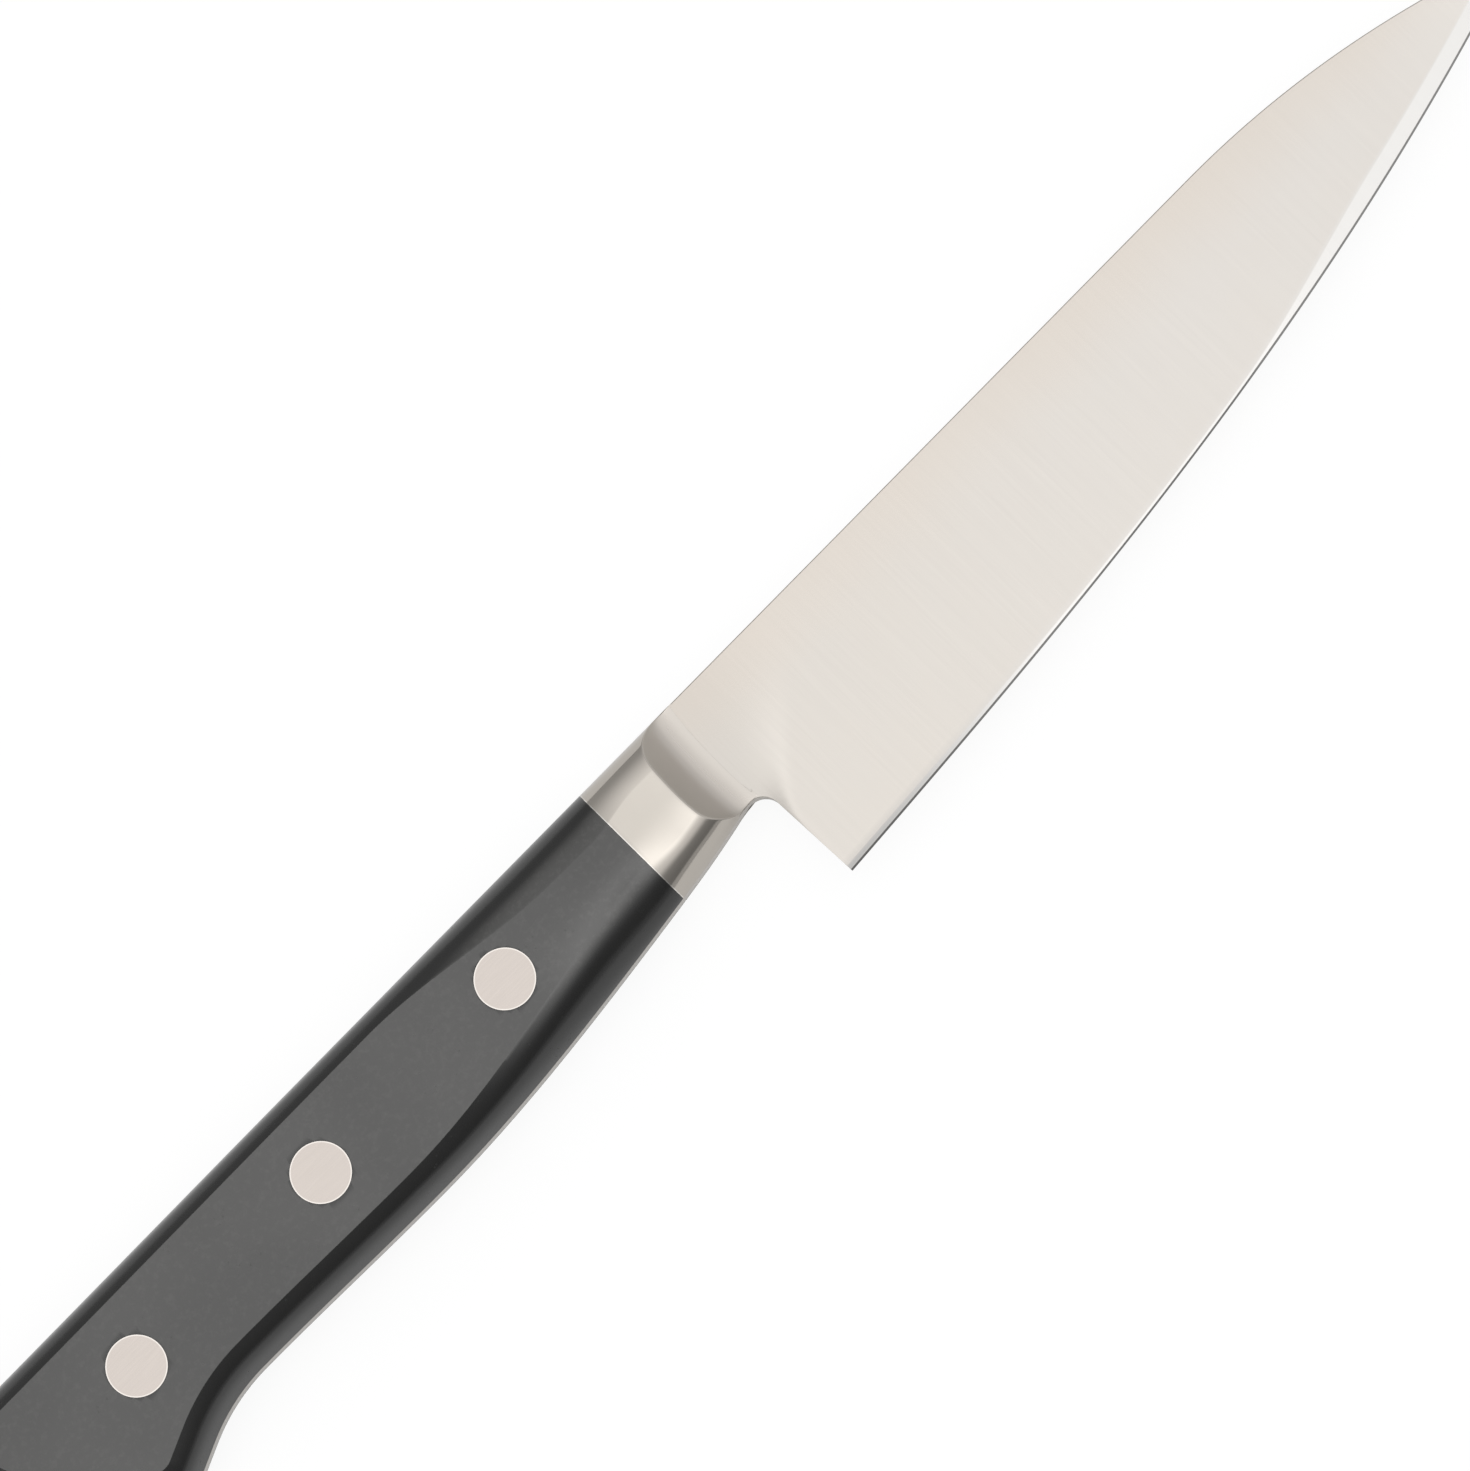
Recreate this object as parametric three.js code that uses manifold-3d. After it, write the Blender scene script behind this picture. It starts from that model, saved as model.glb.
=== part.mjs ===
// Petty knife: a small double-bevel kitchen knife with a full tang, welded bolster halves
// and two handle scales held by three two-part rivets. It lies on its left side.
//
// Knife frame, in millimetres: x = 0 where the scales meet the bolster, +X towards the tip,
// y = 0 along the straight spine with +Y out of it, z = 0 in the middle of the steel with +Z out
// of the right-hand side. The finished group stands the knife's box on z = 0, centred in x and y.

import * as THREE from 'three';
import { mergeVertices } from 'three/addons/utils/BufferGeometryUtils.js';
import Module from 'manifold-3d';

const wasm = await Module();
wasm.setup();

// Blade
const BLADE_LENGTH = 120; // heel corner to tip
const HEEL_DEPTH = 26.8; // spine to heel corner
const EDGE_RISE = 8; // rise of the edge from heel to tip that is spread evenly
const EDGE_BELLY = 10.9; // further rise, gathered towards the tip
const EDGE_BELLY_POWER = 2.8; // how late that rise comes
const SPINE_DROP_LENGTH = 41.8; // stretch of spine that curves down to the tip
const STEEL_THICKNESS = 1.8; // tang, and spine at the heel
const TIP_THICKNESS = 0.6; // spine at the tip
const DISTAL_TAPER_POWER = 1.5; // how late the spine thins
const FACE_SWELL_POWER = 1.4; // 1 is a flat face, more is a fuller one
const EDGE_LAND = 0.06; // width of the cutting edge itself
const SHOULDER_THICKNESS_HEEL = 0.32; // steel behind the bevel, at the heel
const SHOULDER_THICKNESS_TIP = 0.44; // and where the belly curves up
const BEVEL_WIDTH_HEEL = 0.7; // height of the bevel at the heel
const BEVEL_WIDTH_MIDDLE = 0.4;
const BEVEL_WIDTH_BELLY = 1.9; // where the belly curves up
const BEVEL_MIDDLE_AT = 0.4; // share of the blade's length where the bevel is narrowest
const BELLY_FROM = 0.55; // share of the blade's length where the belly begins
const BELLY_FULL = 0.78; // and where the bevel is widest
const BEVEL_ROOM = 0.4; // most of the blade's depth that the bevel takes at the tip
const FACE_RUN_UPPER = 8; // length over which the neck thins into the face, by the spine
const FACE_RUN_LOWER = 1.7; // and by the heel
const FACE_RUN_SHARE = 0.5; // share of the depth where the lower run is reached

// Neck and choil, between the bolster and the heel
const NECK_LENGTH = 14.8; // scales' joint to heel corner
const CHOIL_DEPTH = 13.8; // spine to the top of the notch
const CHOIL_RADIUS = 2.2;
const HEEL_LEAN = 0.4; // how far the heel corner stands ahead of the notch's side
const NECK_ARM_CHOIL = 1; // reach of the neck's curve at the choil
const NECK_ARM_JOINT = 8.5; // and at the joint

// Handle outline
const HANDLE_LENGTH = 98.4; // joint to the end of the butt
const JOINT_DEPTH = 15.95; // height of the handle at the bolster
const JOINT_SLOPE = 0.138; // fall of the under side there, per millimetre
const BELLY_SETBACK = 40; // joint to the fullest part
const BELLY_DEPTH = 19.6;
const BELLY_ARM_FRONT = 16; // reach of the belly's curve at the joint
const BELLY_ARM_REAR = 12; // and at the fullest part
const WAIST_DEPTH = 19.15; // ahead of the flared butt
const WAIST_RADIUS = 23;
const FLARE_ANGLE = 24; // degrees
const BEAK_SETBACK = 16.2; // end of the butt to the lowest point of its lower corner
const BEAK_DEPTH = 23.1;
const BEAK_RADIUS = 5.2;
const BUTT_RADIUS = 25;
const TOP_CORNER_RADIUS = 4;
const TOP_DROP = 0.13; // fall of the handle's back at the butt
const TOP_DROP_LENGTH = 55;

// Handle section: a leaning wall, a rounded facet and a flat face
const HANDLE_THICKNESS = 11.6; // across both scales' flat faces
const BOLSTER_THICKNESS = 9.4; // at the bolster's front
const THINNING_START = 12; // that narrowing begins this far behind the joint
const THINNING_END = 10; // and ends this far ahead of it
const WALL_LEAN = 12; // degrees that the wall leans in where it leaves the tang
const FACET_WIDTH_REAR = 2.9; // outline to flat face, at the butt
const FACET_WIDTH_FRONT = 4.5; // and at the bolster
const WIDENING_START = 34; // the facet widens from here, behind the joint
const WIDENING_END = 2; // to here
const FACET_LEAN_REAR = 31; // degrees between facet and face: a crisp line
const FACET_LEAN_FRONT = 5; // and where both melt into one round
const CRISP_SETBACK = 36; // the line is crisp behind this distance from the joint
const SOFT_SETBACK = 8; // and gone ahead of this one
const WALL_ARM_REAR = 0.93; // reach of the curve along the wall, as a share of the way to the facet
const WALL_ARM_FRONT = 0.6;
const FACET_ARM_REAR = 0.96; // and along the facet, as a share of the way to the wall
const FACET_ARM_FRONT = 0.55;

// Bolster
const RAMP_START = 7.4; // joint to the front line of the bolster's face
const RAMP_RADIUS = 5.8; // hollow that runs down to the blade
const RAMP_BITE = 0.04; // the hollow reaches this far below the tang's face, which ends it cleanly
const RAMP_PLAN_RADIUS = 60; // sweep of the hollow seen from the side of the knife
const RAMP_PLAN_DEPTH = 8.7; // spine to the rearmost point of that sweep

// Rivets
const RIVET_SETBACK_FRONT = 19.5; // joint to the front rivet
const RIVET_SETBACK_REAR = 21.8; // end of the butt to the rear rivet
const RIVET_DEPTH_FRONT = 9.2; // spine to the front rivet
const RIVET_DEPTH_REAR = 10.2;
const RIVET_HEAD_DIAMETER = 6.8;
const RIVET_HEAD_HEIGHT = 1.6;
const POST_DIAMETER = 2.8;
const SOCKET_DIAMETER = 4.4;
const SOCKET_FLOOR = 1.2; // steel left between the socket's bore and its outer face
const RIVET_CLEARANCE = 0.05; // all round heads, sockets and posts
const RIVET_END_GAP = 0.3; // ahead of the post's end and the socket's mouth

// Fineness of curved surfaces
const HANDLE_STATIONS = 72;
const ROUND_STEPS = 8;
const FACE_STEPS = 6;
const NECK_STEPS = 10;
const BLADE_STEPS = 40;
const SPINE_STEPS = 24;
const CHOIL_STEPS = 8;
const RIVET_SIDES = 40;
const RAMP_STEPS = 14;
const SWEEP_STEPS = 12;

// Places that follow from the sizes above
const HALF_STEEL = STEEL_THICKNESS / 2;
const HALF_HANDLE = HANDLE_THICKNESS / 2;
const TIP_X = NECK_LENGTH + BLADE_LENGTH;
const TIP_DEPTH = HEEL_DEPTH - EDGE_RISE - EDGE_BELLY;
const CHOIL_X = NECK_LENGTH - HEEL_LEAN - CHOIL_RADIUS;
const RAMP_CENTRE_Z = HALF_STEEL - RAMP_BITE + RAMP_RADIUS;
const RAMP_CENTRE_X = RAMP_START + chordReach(RAMP_RADIUS, RAMP_CENTRE_Z - halfThickness(RAMP_START));
const BOLSTER_FRONT = RAMP_CENTRE_X - chordReach(RAMP_RADIUS, RAMP_RADIUS - RAMP_BITE);
const GRIND_START = BOLSTER_FRONT + rampSweep(-CHOIL_DEPTH);
const SPARE = 3; // how far a cutting shape stands past what it cuts
const HANDLE_FRONT = CHOIL_X + FACET_WIDTH_FRONT + SPARE; // where the handle's body ends before the hollow is cut

const STEEL = { color: 0xdad6cf, roughness: 0.3, metalness: 1 };
const RIVET_STEEL = { color: 0xd2cbc3, roughness: 0.32, metalness: 1 };
const SCALE_BLACK = { color: 0x2a2927, roughness: 0.5, metalness: 0 };

// Half the chord of a circle at a given distance from its centre
function chordReach(radius, distance) {
  return Math.sqrt(radius * radius - distance * distance);
}

function smooth(from, to, value) {
  return THREE.MathUtils.smoothstep(value, from, to);
}

// Half the handle's thickness at x, which narrows through the joint to the bolster's front
function halfThickness(x) {
  return THREE.MathUtils.lerp(HANDLE_THICKNESS, BOLSTER_THICKNESS, smooth(-THINNING_START, THINNING_END, x)) / 2;
}

// How far the hollow swings forward at y, by a parabola of the plan's radius
function rampSweep(y) {
  return (y + RAMP_PLAN_DEPTH) ** 2 / (2 * RAMP_PLAN_RADIUS);
}

// Solids and geometry

function solidOf(geometry) {
  const bare = geometry.clone();
  bare.deleteAttribute('normal');
  bare.deleteAttribute('uv');
  const merged = mergeVertices(bare);
  const corners = merged.index.array;
  const kept = [];
  for (let i = 0; i < corners.length; i += 3) {
    const [a, b, c] = [corners[i], corners[i + 1], corners[i + 2]];
    if (a !== b && b !== c && c !== a) kept.push(a, b, c);
  }
  const mesh = new wasm.Mesh({
    numProp: 3,
    vertProperties: new Float32Array(merged.attributes.position.array),
    triVerts: new Uint32Array(kept),
  });
  return new wasm.Manifold(mesh);
}

function geometryOf(solid) {
  const mesh = solid.getMesh();
  const geometry = new THREE.BufferGeometry();
  geometry.setAttribute('position', new THREE.BufferAttribute(new Float32Array(mesh.vertProperties), 3));
  geometry.setIndex(new THREE.BufferAttribute(new Uint32Array(mesh.triVerts), 1));
  geometry.computeVertexNormals();
  return geometry;
}

// The same shape on the knife's other side
function mirrored(geometry) {
  const copy = geometry.clone().applyMatrix4(new THREE.Matrix4().makeScale(1, 1, -1));
  const corners = copy.index.array;
  for (let i = 0; i < corners.length; i += 3) {
    [corners[i + 1], corners[i + 2]] = [corners[i + 2], corners[i + 1]];
  }
  copy.computeVertexNormals();
  return copy;
}

function blockBetween(low, high) {
  const box = new THREE.Box3(low, high);
  const size = box.getSize(new THREE.Vector3());
  const centre = box.getCenter(new THREE.Vector3());
  return solidOf(new THREE.BoxGeometry(size.x, size.y, size.z).translate(centre.x, centre.y, centre.z));
}

// A closed surface through loops of equal length, with both end loops filled
function loft(loops) {
  const size = loops[0].length;
  const positions = loops.flat().flatMap((point) => point.toArray());
  const corners = [];
  for (let i = 0; i + 1 < loops.length; i += 1) {
    for (let j = 0; j < size; j += 1) {
      const here = i * size + j;
      const next = i * size + ((j + 1) % size);
      corners.push(here, next, next + size, here, next + size, here + size);
    }
  }
  for (const end of [0, loops.length - 1]) {
    const centre = positions.length / 3;
    const middle = loops[end].reduce((sum, point) => sum.add(point), new THREE.Vector3()).divideScalar(size);
    positions.push(...middle.toArray());
    for (let j = 0; j < size; j += 1) {
      const here = end * size + j;
      const next = end * size + ((j + 1) % size);
      if (end === 0) corners.push(centre, next, here);
      else corners.push(centre, here, next);
    }
  }
  const geometry = new THREE.BufferGeometry();
  geometry.setAttribute('position', new THREE.Float32BufferAttribute(positions, 3));
  geometry.setIndex(corners);
  return geometry;
}

// Handle outline

// Centre of the circle of a given radius that holds two smaller circles and touches both inside
function enclosingCentre(centreA, radiusA, centreB, radiusB, radius) {
  const reachA = radius - radiusA;
  const reachB = radius - radiusB;
  const span = new THREE.Vector2().subVectors(centreB, centreA);
  const length = span.length();
  const along = (reachA * reachA - reachB * reachB + length * length) / (2 * length);
  const aside = chordReach(reachA, along);
  const forward = span.clone().divideScalar(length);
  const sideways = new THREE.Vector2(-forward.y, forward.x);
  if (sideways.x < 0) sideways.negate();
  return centreA.clone().addScaledVector(forward, along).addScaledVector(sideways, aside);
}

function angleTo(from, to) {
  return Math.atan2(to.y - from.y, to.x - from.x);
}

// Two lines from the end of the butt to above and below the choil: the handle's back and its under side
function handleEdges() {
  const flare = THREE.MathUtils.degToRad(FLARE_ANGLE);
  const topCentre = new THREE.Vector2(TOP_CORNER_RADIUS - HANDLE_LENGTH, -TOP_DROP - TOP_CORNER_RADIUS);
  const beakCentre = new THREE.Vector2(BEAK_SETBACK - HANDLE_LENGTH, BEAK_RADIUS - BEAK_DEPTH);
  const buttCentre = enclosingCentre(topCentre, TOP_CORNER_RADIUS, beakCentre, BEAK_RADIUS, BUTT_RADIUS);
  const toTop = angleTo(buttCentre, topCentre);
  const toBeak = angleTo(buttCentre, beakCentre) + 2 * Math.PI;
  const topAngle = toTop < 0 ? toTop + 2 * Math.PI : toTop;

  const back = new THREE.Path();
  back.absarc(topCentre.x, topCentre.y, TOP_CORNER_RADIUS, topAngle, Math.PI / 2, true);
  const dropEnd = topCentre.x + TOP_DROP_LENGTH;
  const dropArm = TOP_DROP_LENGTH / 3;
  back.bezierCurveTo(topCentre.x + dropArm, -TOP_DROP, dropEnd - dropArm, 0, dropEnd, 0);
  back.lineTo(CHOIL_X, 0);

  const flareEnd = 1.5 * Math.PI + flare;
  const flareFoot = new THREE.Vector2(Math.cos(flareEnd), Math.sin(flareEnd))
    .multiplyScalar(BEAK_RADIUS).add(beakCentre);
  const bendX = flareFoot.x + (-WAIST_DEPTH - flareFoot.y) / Math.tan(flare);
  const bendReach = WAIST_RADIUS * Math.tan(flare / 2);
  const waistX = bendX + bendReach;
  const bellyX = -BELLY_SETBACK;
  const bellyArm = (bellyX - waistX) / 3;

  const under = new THREE.Path();
  under.absarc(buttCentre.x, buttCentre.y, BUTT_RADIUS, topAngle, toBeak, false);
  under.absarc(beakCentre.x, beakCentre.y, BEAK_RADIUS, toBeak, flareEnd, false);
  under.absarc(waistX, -WAIST_DEPTH - WAIST_RADIUS, WAIST_RADIUS, Math.PI / 2 + flare, Math.PI / 2, true);
  under.bezierCurveTo(waistX + bellyArm, -WAIST_DEPTH, bellyX - bellyArm, -BELLY_DEPTH, bellyX, -BELLY_DEPTH);
  under.bezierCurveTo(
    bellyX + BELLY_ARM_REAR, -BELLY_DEPTH,
    -BELLY_ARM_FRONT, -JOINT_DEPTH - JOINT_SLOPE * BELLY_ARM_FRONT,
    0, -JOINT_DEPTH,
  );
  under.bezierCurveTo(
    NECK_ARM_JOINT, -JOINT_DEPTH + JOINT_SLOPE * NECK_ARM_JOINT,
    CHOIL_X - NECK_ARM_CHOIL, -CHOIL_DEPTH,
    CHOIL_X, -CHOIL_DEPTH,
  );
  return {
    back: back.getSpacedPoints(HANDLE_STATIONS),
    under: under.getSpacedPoints(HANDLE_STATIONS),
  };
}

const HANDLE = handleEdges();

// Blade

function alongBlade(x) {
  return THREE.MathUtils.clamp((x - NECK_LENGTH) / BLADE_LENGTH, 0, 1);
}

function edgeY(x) {
  const u = alongBlade(x);
  return EDGE_RISE * u + EDGE_BELLY * Math.pow(u, EDGE_BELLY_POWER) - HEEL_DEPTH;
}

function spineY(x) {
  const along = Math.max(0, x - (TIP_X - SPINE_DROP_LENGTH)) / SPINE_DROP_LENGTH;
  return -TIP_DEPTH * along * along;
}

function bevelWidth(x) {
  const u = alongBlade(x);
  const rear = THREE.MathUtils.lerp(BEVEL_WIDTH_HEEL, BEVEL_WIDTH_MIDDLE, smooth(0, BEVEL_MIDDLE_AT, u));
  const width = THREE.MathUtils.lerp(rear, BEVEL_WIDTH_BELLY, smooth(BELLY_FROM, BELLY_FULL, u));
  const room = spineY(x) - edgeY(x);
  return THREE.MathUtils.clamp(BEVEL_ROOM * room, EDGE_LAND, width);
}

// Half the steel's thickness at x, a share of the way down the face from spine to bevel
function faceHalf(x, share) {
  const u = alongBlade(x);
  const spine = THREE.MathUtils.lerp(HALF_STEEL, TIP_THICKNESS / 2, Math.pow(u, DISTAL_TAPER_POWER));
  const belly = smooth(BELLY_FROM, BELLY_FULL, u);
  const shoulder = THREE.MathUtils.lerp(SHOULDER_THICKNESS_HEEL, SHOULDER_THICKNESS_TIP, belly) / 2;
  const ground = THREE.MathUtils.lerp(spine, Math.min(shoulder, spine), Math.pow(share, FACE_SWELL_POWER));
  const run = THREE.MathUtils.lerp(FACE_RUN_UPPER, FACE_RUN_LOWER, smooth(0, FACE_RUN_SHARE, share));
  return THREE.MathUtils.lerp(HALF_STEEL, ground, smooth(GRIND_START, GRIND_START + run, x));
}

// Loop round the steel at x: right face from above the spine down to the edge, then the left face
function grindLoop(x) {
  const top = spineY(x);
  const edge = edgeY(x);
  const ground = smooth(GRIND_START, GRIND_START + FACE_RUN_LOWER, x);
  const shoulder = edge + bevelWidth(x);
  const right = [new THREE.Vector3(x, top + SPARE, faceHalf(x, 0))];
  for (let i = 0; i <= FACE_STEPS; i += 1) {
    const share = i / FACE_STEPS;
    right.push(new THREE.Vector3(x, THREE.MathUtils.lerp(top, shoulder, share), faceHalf(x, share)));
  }
  right.push(new THREE.Vector3(x, edge, THREE.MathUtils.lerp(HALF_STEEL, EDGE_LAND / 2, ground)));
  const left = right.map((point) => new THREE.Vector3(point.x, point.y, -point.z)).reverse();
  return [...right, ...left];
}

function grindStations() {
  const stations = [-HANDLE_LENGTH - SPARE, GRIND_START];
  const runEnd = GRIND_START + FACE_RUN_UPPER;
  for (let i = 1; i <= NECK_STEPS; i += 1) stations.push(THREE.MathUtils.lerp(GRIND_START, runEnd, i / NECK_STEPS));
  for (let i = 1; i <= BLADE_STEPS; i += 1) stations.push(THREE.MathUtils.lerp(runEnd, TIP_X, i / BLADE_STEPS));
  return stations;
}

// The flat blank: tang, neck, choil and heel, with its lower side left SPARE below the cutting edge
function blankOutline() {
  const notchX = NECK_LENGTH - HEEL_LEAN;
  const notchY = -CHOIL_DEPTH - CHOIL_RADIUS;
  const below = -HEEL_DEPTH - SPARE;
  const heelFall = (notchY - below) / (notchY + HEEL_DEPTH);
  const outline = new THREE.Shape(HANDLE.under);
  outline.absarc(CHOIL_X, notchY, CHOIL_RADIUS, Math.PI / 2, 0, true);
  outline.lineTo(notchX + HEEL_LEAN * heelFall, below);
  outline.lineTo(TIP_X, below);
  for (let i = 0; i <= SPINE_STEPS; i += 1) {
    const x = TIP_X - SPINE_DROP_LENGTH * (i / SPINE_STEPS);
    outline.lineTo(x, spineY(x));
  }
  for (const point of HANDLE.back.slice(1).reverse()) outline.lineTo(point.x, point.y);
  return outline;
}

function bladeGeometry() {
  const depth = STEEL_THICKNESS + 2 * SPARE;
  const settings = { depth, bevelEnabled: false, curveSegments: CHOIL_STEPS };
  const blank = new THREE.ExtrudeGeometry(blankOutline(), settings).translate(0, 0, -depth / 2);
  const ground = solidOf(loft(grindStations().map(grindLoop)));
  let steel = solidOf(blank).intersect(ground);
  for (const rivet of RIVETS) steel = steel.subtract(rivetHole(rivet, SOCKET_DIAMETER, -HALF_STEEL, HALF_STEEL, SPARE));
  return geometryOf(steel);
}

// Handle body

// Curve from the outline to the flat face at x, as points of inset and height: it leaves the tang at the
// wall's lean and reaches the face at the facet's, with arms towards the point where those two cross
function edgeCurve(x) {
  const soft = smooth(-CRISP_SETBACK, -SOFT_SETBACK, x);
  const blend = (rear, front) => THREE.MathUtils.lerp(rear, front, soft);
  const wall = Math.tan(THREE.MathUtils.degToRad(WALL_LEAN));
  const facet = Math.tan(THREE.MathUtils.degToRad(blend(FACET_LEAN_REAR, FACET_LEAN_FRONT)));
  const widening = smooth(-WIDENING_START, -WIDENING_END, x);
  const start = new THREE.Vector2(0, HALF_STEEL);
  const end = new THREE.Vector2(THREE.MathUtils.lerp(FACET_WIDTH_REAR, FACET_WIDTH_FRONT, widening), halfThickness(x));
  const inset = wall * (end.y - start.y - end.x * facet) / (1 - wall * facet);
  const crossing = new THREE.Vector2(inset, end.y - (end.x - inset) * facet);
  const leave = start.clone().lerp(crossing, blend(WALL_ARM_REAR, WALL_ARM_FRONT));
  const arrive = end.clone().lerp(crossing, blend(FACET_ARM_REAR, FACET_ARM_FRONT));
  return new THREE.CubicBezierCurve(start, leave, arrive, end).getPoints(ROUND_STEPS);
}

// Right half of the handle and bolster before they are parted: the outline rises from the tang along the
// edge curve and closes with the flat face. Points k and count - k face each other across the handle.
function handleHalf() {
  const front = HANDLE_FRONT;
  const under = [...HANDLE.under, new THREE.Vector2(front, -CHOIL_DEPTH)];
  const back = [...HANDLE.back.slice(1), new THREE.Vector2(front, 0)];
  const middle = new THREE.Vector2(front, -CHOIL_DEPTH / 2);
  const outline = [...under, middle, ...back.reverse()];
  const count = outline.length;
  const inward = outline.map((point, k) => {
    const before = outline[(k + count - 1) % count];
    const after = outline[(k + 1) % count];
    return new THREE.Vector2(before.y - after.y, after.x - before.x).normalize();
  });
  const curves = outline.map((point) => edgeCurve(point.x));
  const positions = [];
  for (let ring = 0; ring <= ROUND_STEPS; ring += 1) {
    outline.forEach((point, k) => {
      const { x: inset, y: height } = curves[k][ring];
      positions.push(point.x + inward[k].x * inset, point.y + inward[k].y * inset, height);
    });
  }
  const corners = [];
  for (let ring = 0; ring < ROUND_STEPS; ring += 1) {
    for (let k = 0; k < count; k += 1) {
      const here = ring * count + k;
      const next = ring * count + ((k + 1) % count);
      corners.push(here, next, next + count, here, next + count, here + count);
    }
  }
  const top = ROUND_STEPS * count;
  const half = count / 2;
  for (let k = 0; k < half; k += 1) {
    const [a, b, c, d] = [k, k + 1, count - k - 1, (count - k) % count];
    if (k > 0) {
      corners.push(top + a, top + b, top + d);
      corners.push(a, d, b);
    }
    if (k < half - 1) {
      corners.push(top + b, top + c, top + d);
      corners.push(b, d, c);
    }
  }
  const geometry = new THREE.BufferGeometry();
  geometry.setAttribute('position', new THREE.Float32BufferAttribute(positions, 3));
  geometry.setIndex(corners);
  return geometry;
}

const HANDLE_HALF = solidOf(handleHalf());

function scaleGeometry() {
  const low = new THREE.Vector3(-HANDLE_LENGTH - SPARE, -BEAK_DEPTH - SPARE, 0);
  const high = new THREE.Vector3(0, SPARE, HALF_HANDLE + SPARE);
  let scale = HANDLE_HALF.intersect(blockBetween(low, high));
  for (const rivet of RIVETS) {
    scale = scale.subtract(rivetHole(rivet, SOCKET_DIAMETER, 0, HALF_HANDLE, SPARE));
    scale = scale.subtract(rivetHole(rivet, RIVET_HEAD_DIAMETER, HALF_HANDLE - RIVET_HEAD_HEIGHT, HALF_HANDLE + SPARE));
  }
  return geometryOf(scale);
}

// Hollow ramp ahead of the bolster's face: its profile is carried across the knife along the sweep
function rampCutter() {
  const front = HANDLE_FRONT + SPARE;
  const foot = RAMP_CENTRE_Z - RAMP_RADIUS;
  const top = HALF_HANDLE + SPARE;
  const profile = new THREE.Shape();
  profile.moveTo(front, foot);
  profile.lineTo(front, top);
  profile.lineTo(RAMP_CENTRE_X - RAMP_RADIUS, top);
  profile.absarc(RAMP_CENTRE_X, RAMP_CENTRE_Z, RAMP_RADIUS, Math.PI, 1.5 * Math.PI, false);
  const points = profile.getPoints(RAMP_STEPS);
  const loops = [];
  for (let i = 0; i <= SWEEP_STEPS; i += 1) {
    const y = THREE.MathUtils.lerp(SPARE, -JOINT_DEPTH - SPARE, i / SWEEP_STEPS);
    loops.push(points.map((point) => new THREE.Vector3(point.x + rampSweep(y), y, point.y)));
  }
  return solidOf(loft(loops));
}

function bolsterGeometry() {
  const low = new THREE.Vector3(0, -JOINT_DEPTH - SPARE, 0);
  const high = new THREE.Vector3(HANDLE_FRONT + SPARE, SPARE, HALF_HANDLE + SPARE);
  return geometryOf(HANDLE_HALF.intersect(blockBetween(low, high)).subtract(rampCutter()));
}

// Rivets

function rivetPlaces() {
  const front = new THREE.Vector2(-RIVET_SETBACK_FRONT, -RIVET_DEPTH_FRONT);
  const rear = new THREE.Vector2(RIVET_SETBACK_REAR - HANDLE_LENGTH, -RIVET_DEPTH_REAR);
  const middle = new THREE.Vector2().addVectors(front, rear).divideScalar(2);
  return [
    { name: 'front', place: front },
    { name: 'middle', place: middle },
    { name: 'rear', place: rear },
  ];
}

// Round hole with the rivets' clearance, from low to high and past both by an overrun
function rivetHole({ place }, diameter, low, high, overrun = 0) {
  const radius = diameter / 2 + RIVET_CLEARANCE;
  const length = high - low + 2 * overrun;
  const cylinder = new THREE.CylinderGeometry(radius, radius, length, RIVET_SIDES);
  return solidOf(cylinder.rotateX(Math.PI / 2).translate(place.x, place.y, (low + high) / 2));
}

// Turned piece about the rivet's axis, from pairs of radius and height
function turned({ place }, profile) {
  const points = profile.map(([radius, height]) => new THREE.Vector2(radius, height));
  const piece = new THREE.LatheGeometry(points, RIVET_SIDES).rotateX(Math.PI / 2).translate(place.x, place.y, 0);
  return geometryOf(solidOf(piece));
}

// Male half: its head fills the right scale's counterbore and its shank runs into the socket
function postGeometry(rivet) {
  const shank = POST_DIAMETER / 2;
  const head = RIVET_HEAD_DIAMETER / 2;
  const end = SOCKET_FLOOR + RIVET_END_GAP - HALF_HANDLE;
  const seat = HALF_HANDLE - RIVET_HEAD_HEIGHT;
  return turned(rivet, [[0, end], [shank, end], [shank, seat], [head, seat], [head, HALF_HANDLE], [0, HALF_HANDLE]]);
}

// Female half: its head fills the left scale's counterbore and its tube runs through the tang
function socketGeometry(rivet) {
  const tube = SOCKET_DIAMETER / 2;
  const bore = POST_DIAMETER / 2 + RIVET_CLEARANCE;
  const head = RIVET_HEAD_DIAMETER / 2;
  const seat = RIVET_HEAD_HEIGHT - HALF_HANDLE;
  const mouth = HALF_HANDLE - RIVET_HEAD_HEIGHT - RIVET_END_GAP;
  const floor = SOCKET_FLOOR - HALF_HANDLE;
  return turned(rivet, [
    [0, -HALF_HANDLE], [head, -HALF_HANDLE], [head, seat], [tube, seat],
    [tube, mouth], [bore, mouth], [bore, floor], [0, floor],
  ]);
}

const RIVETS = rivetPlaces();

function piece(name, geometry, finish) {
  const mesh = new THREE.Mesh(geometry, new THREE.MeshStandardMaterial(finish));
  mesh.name = name;
  return mesh;
}

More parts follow.
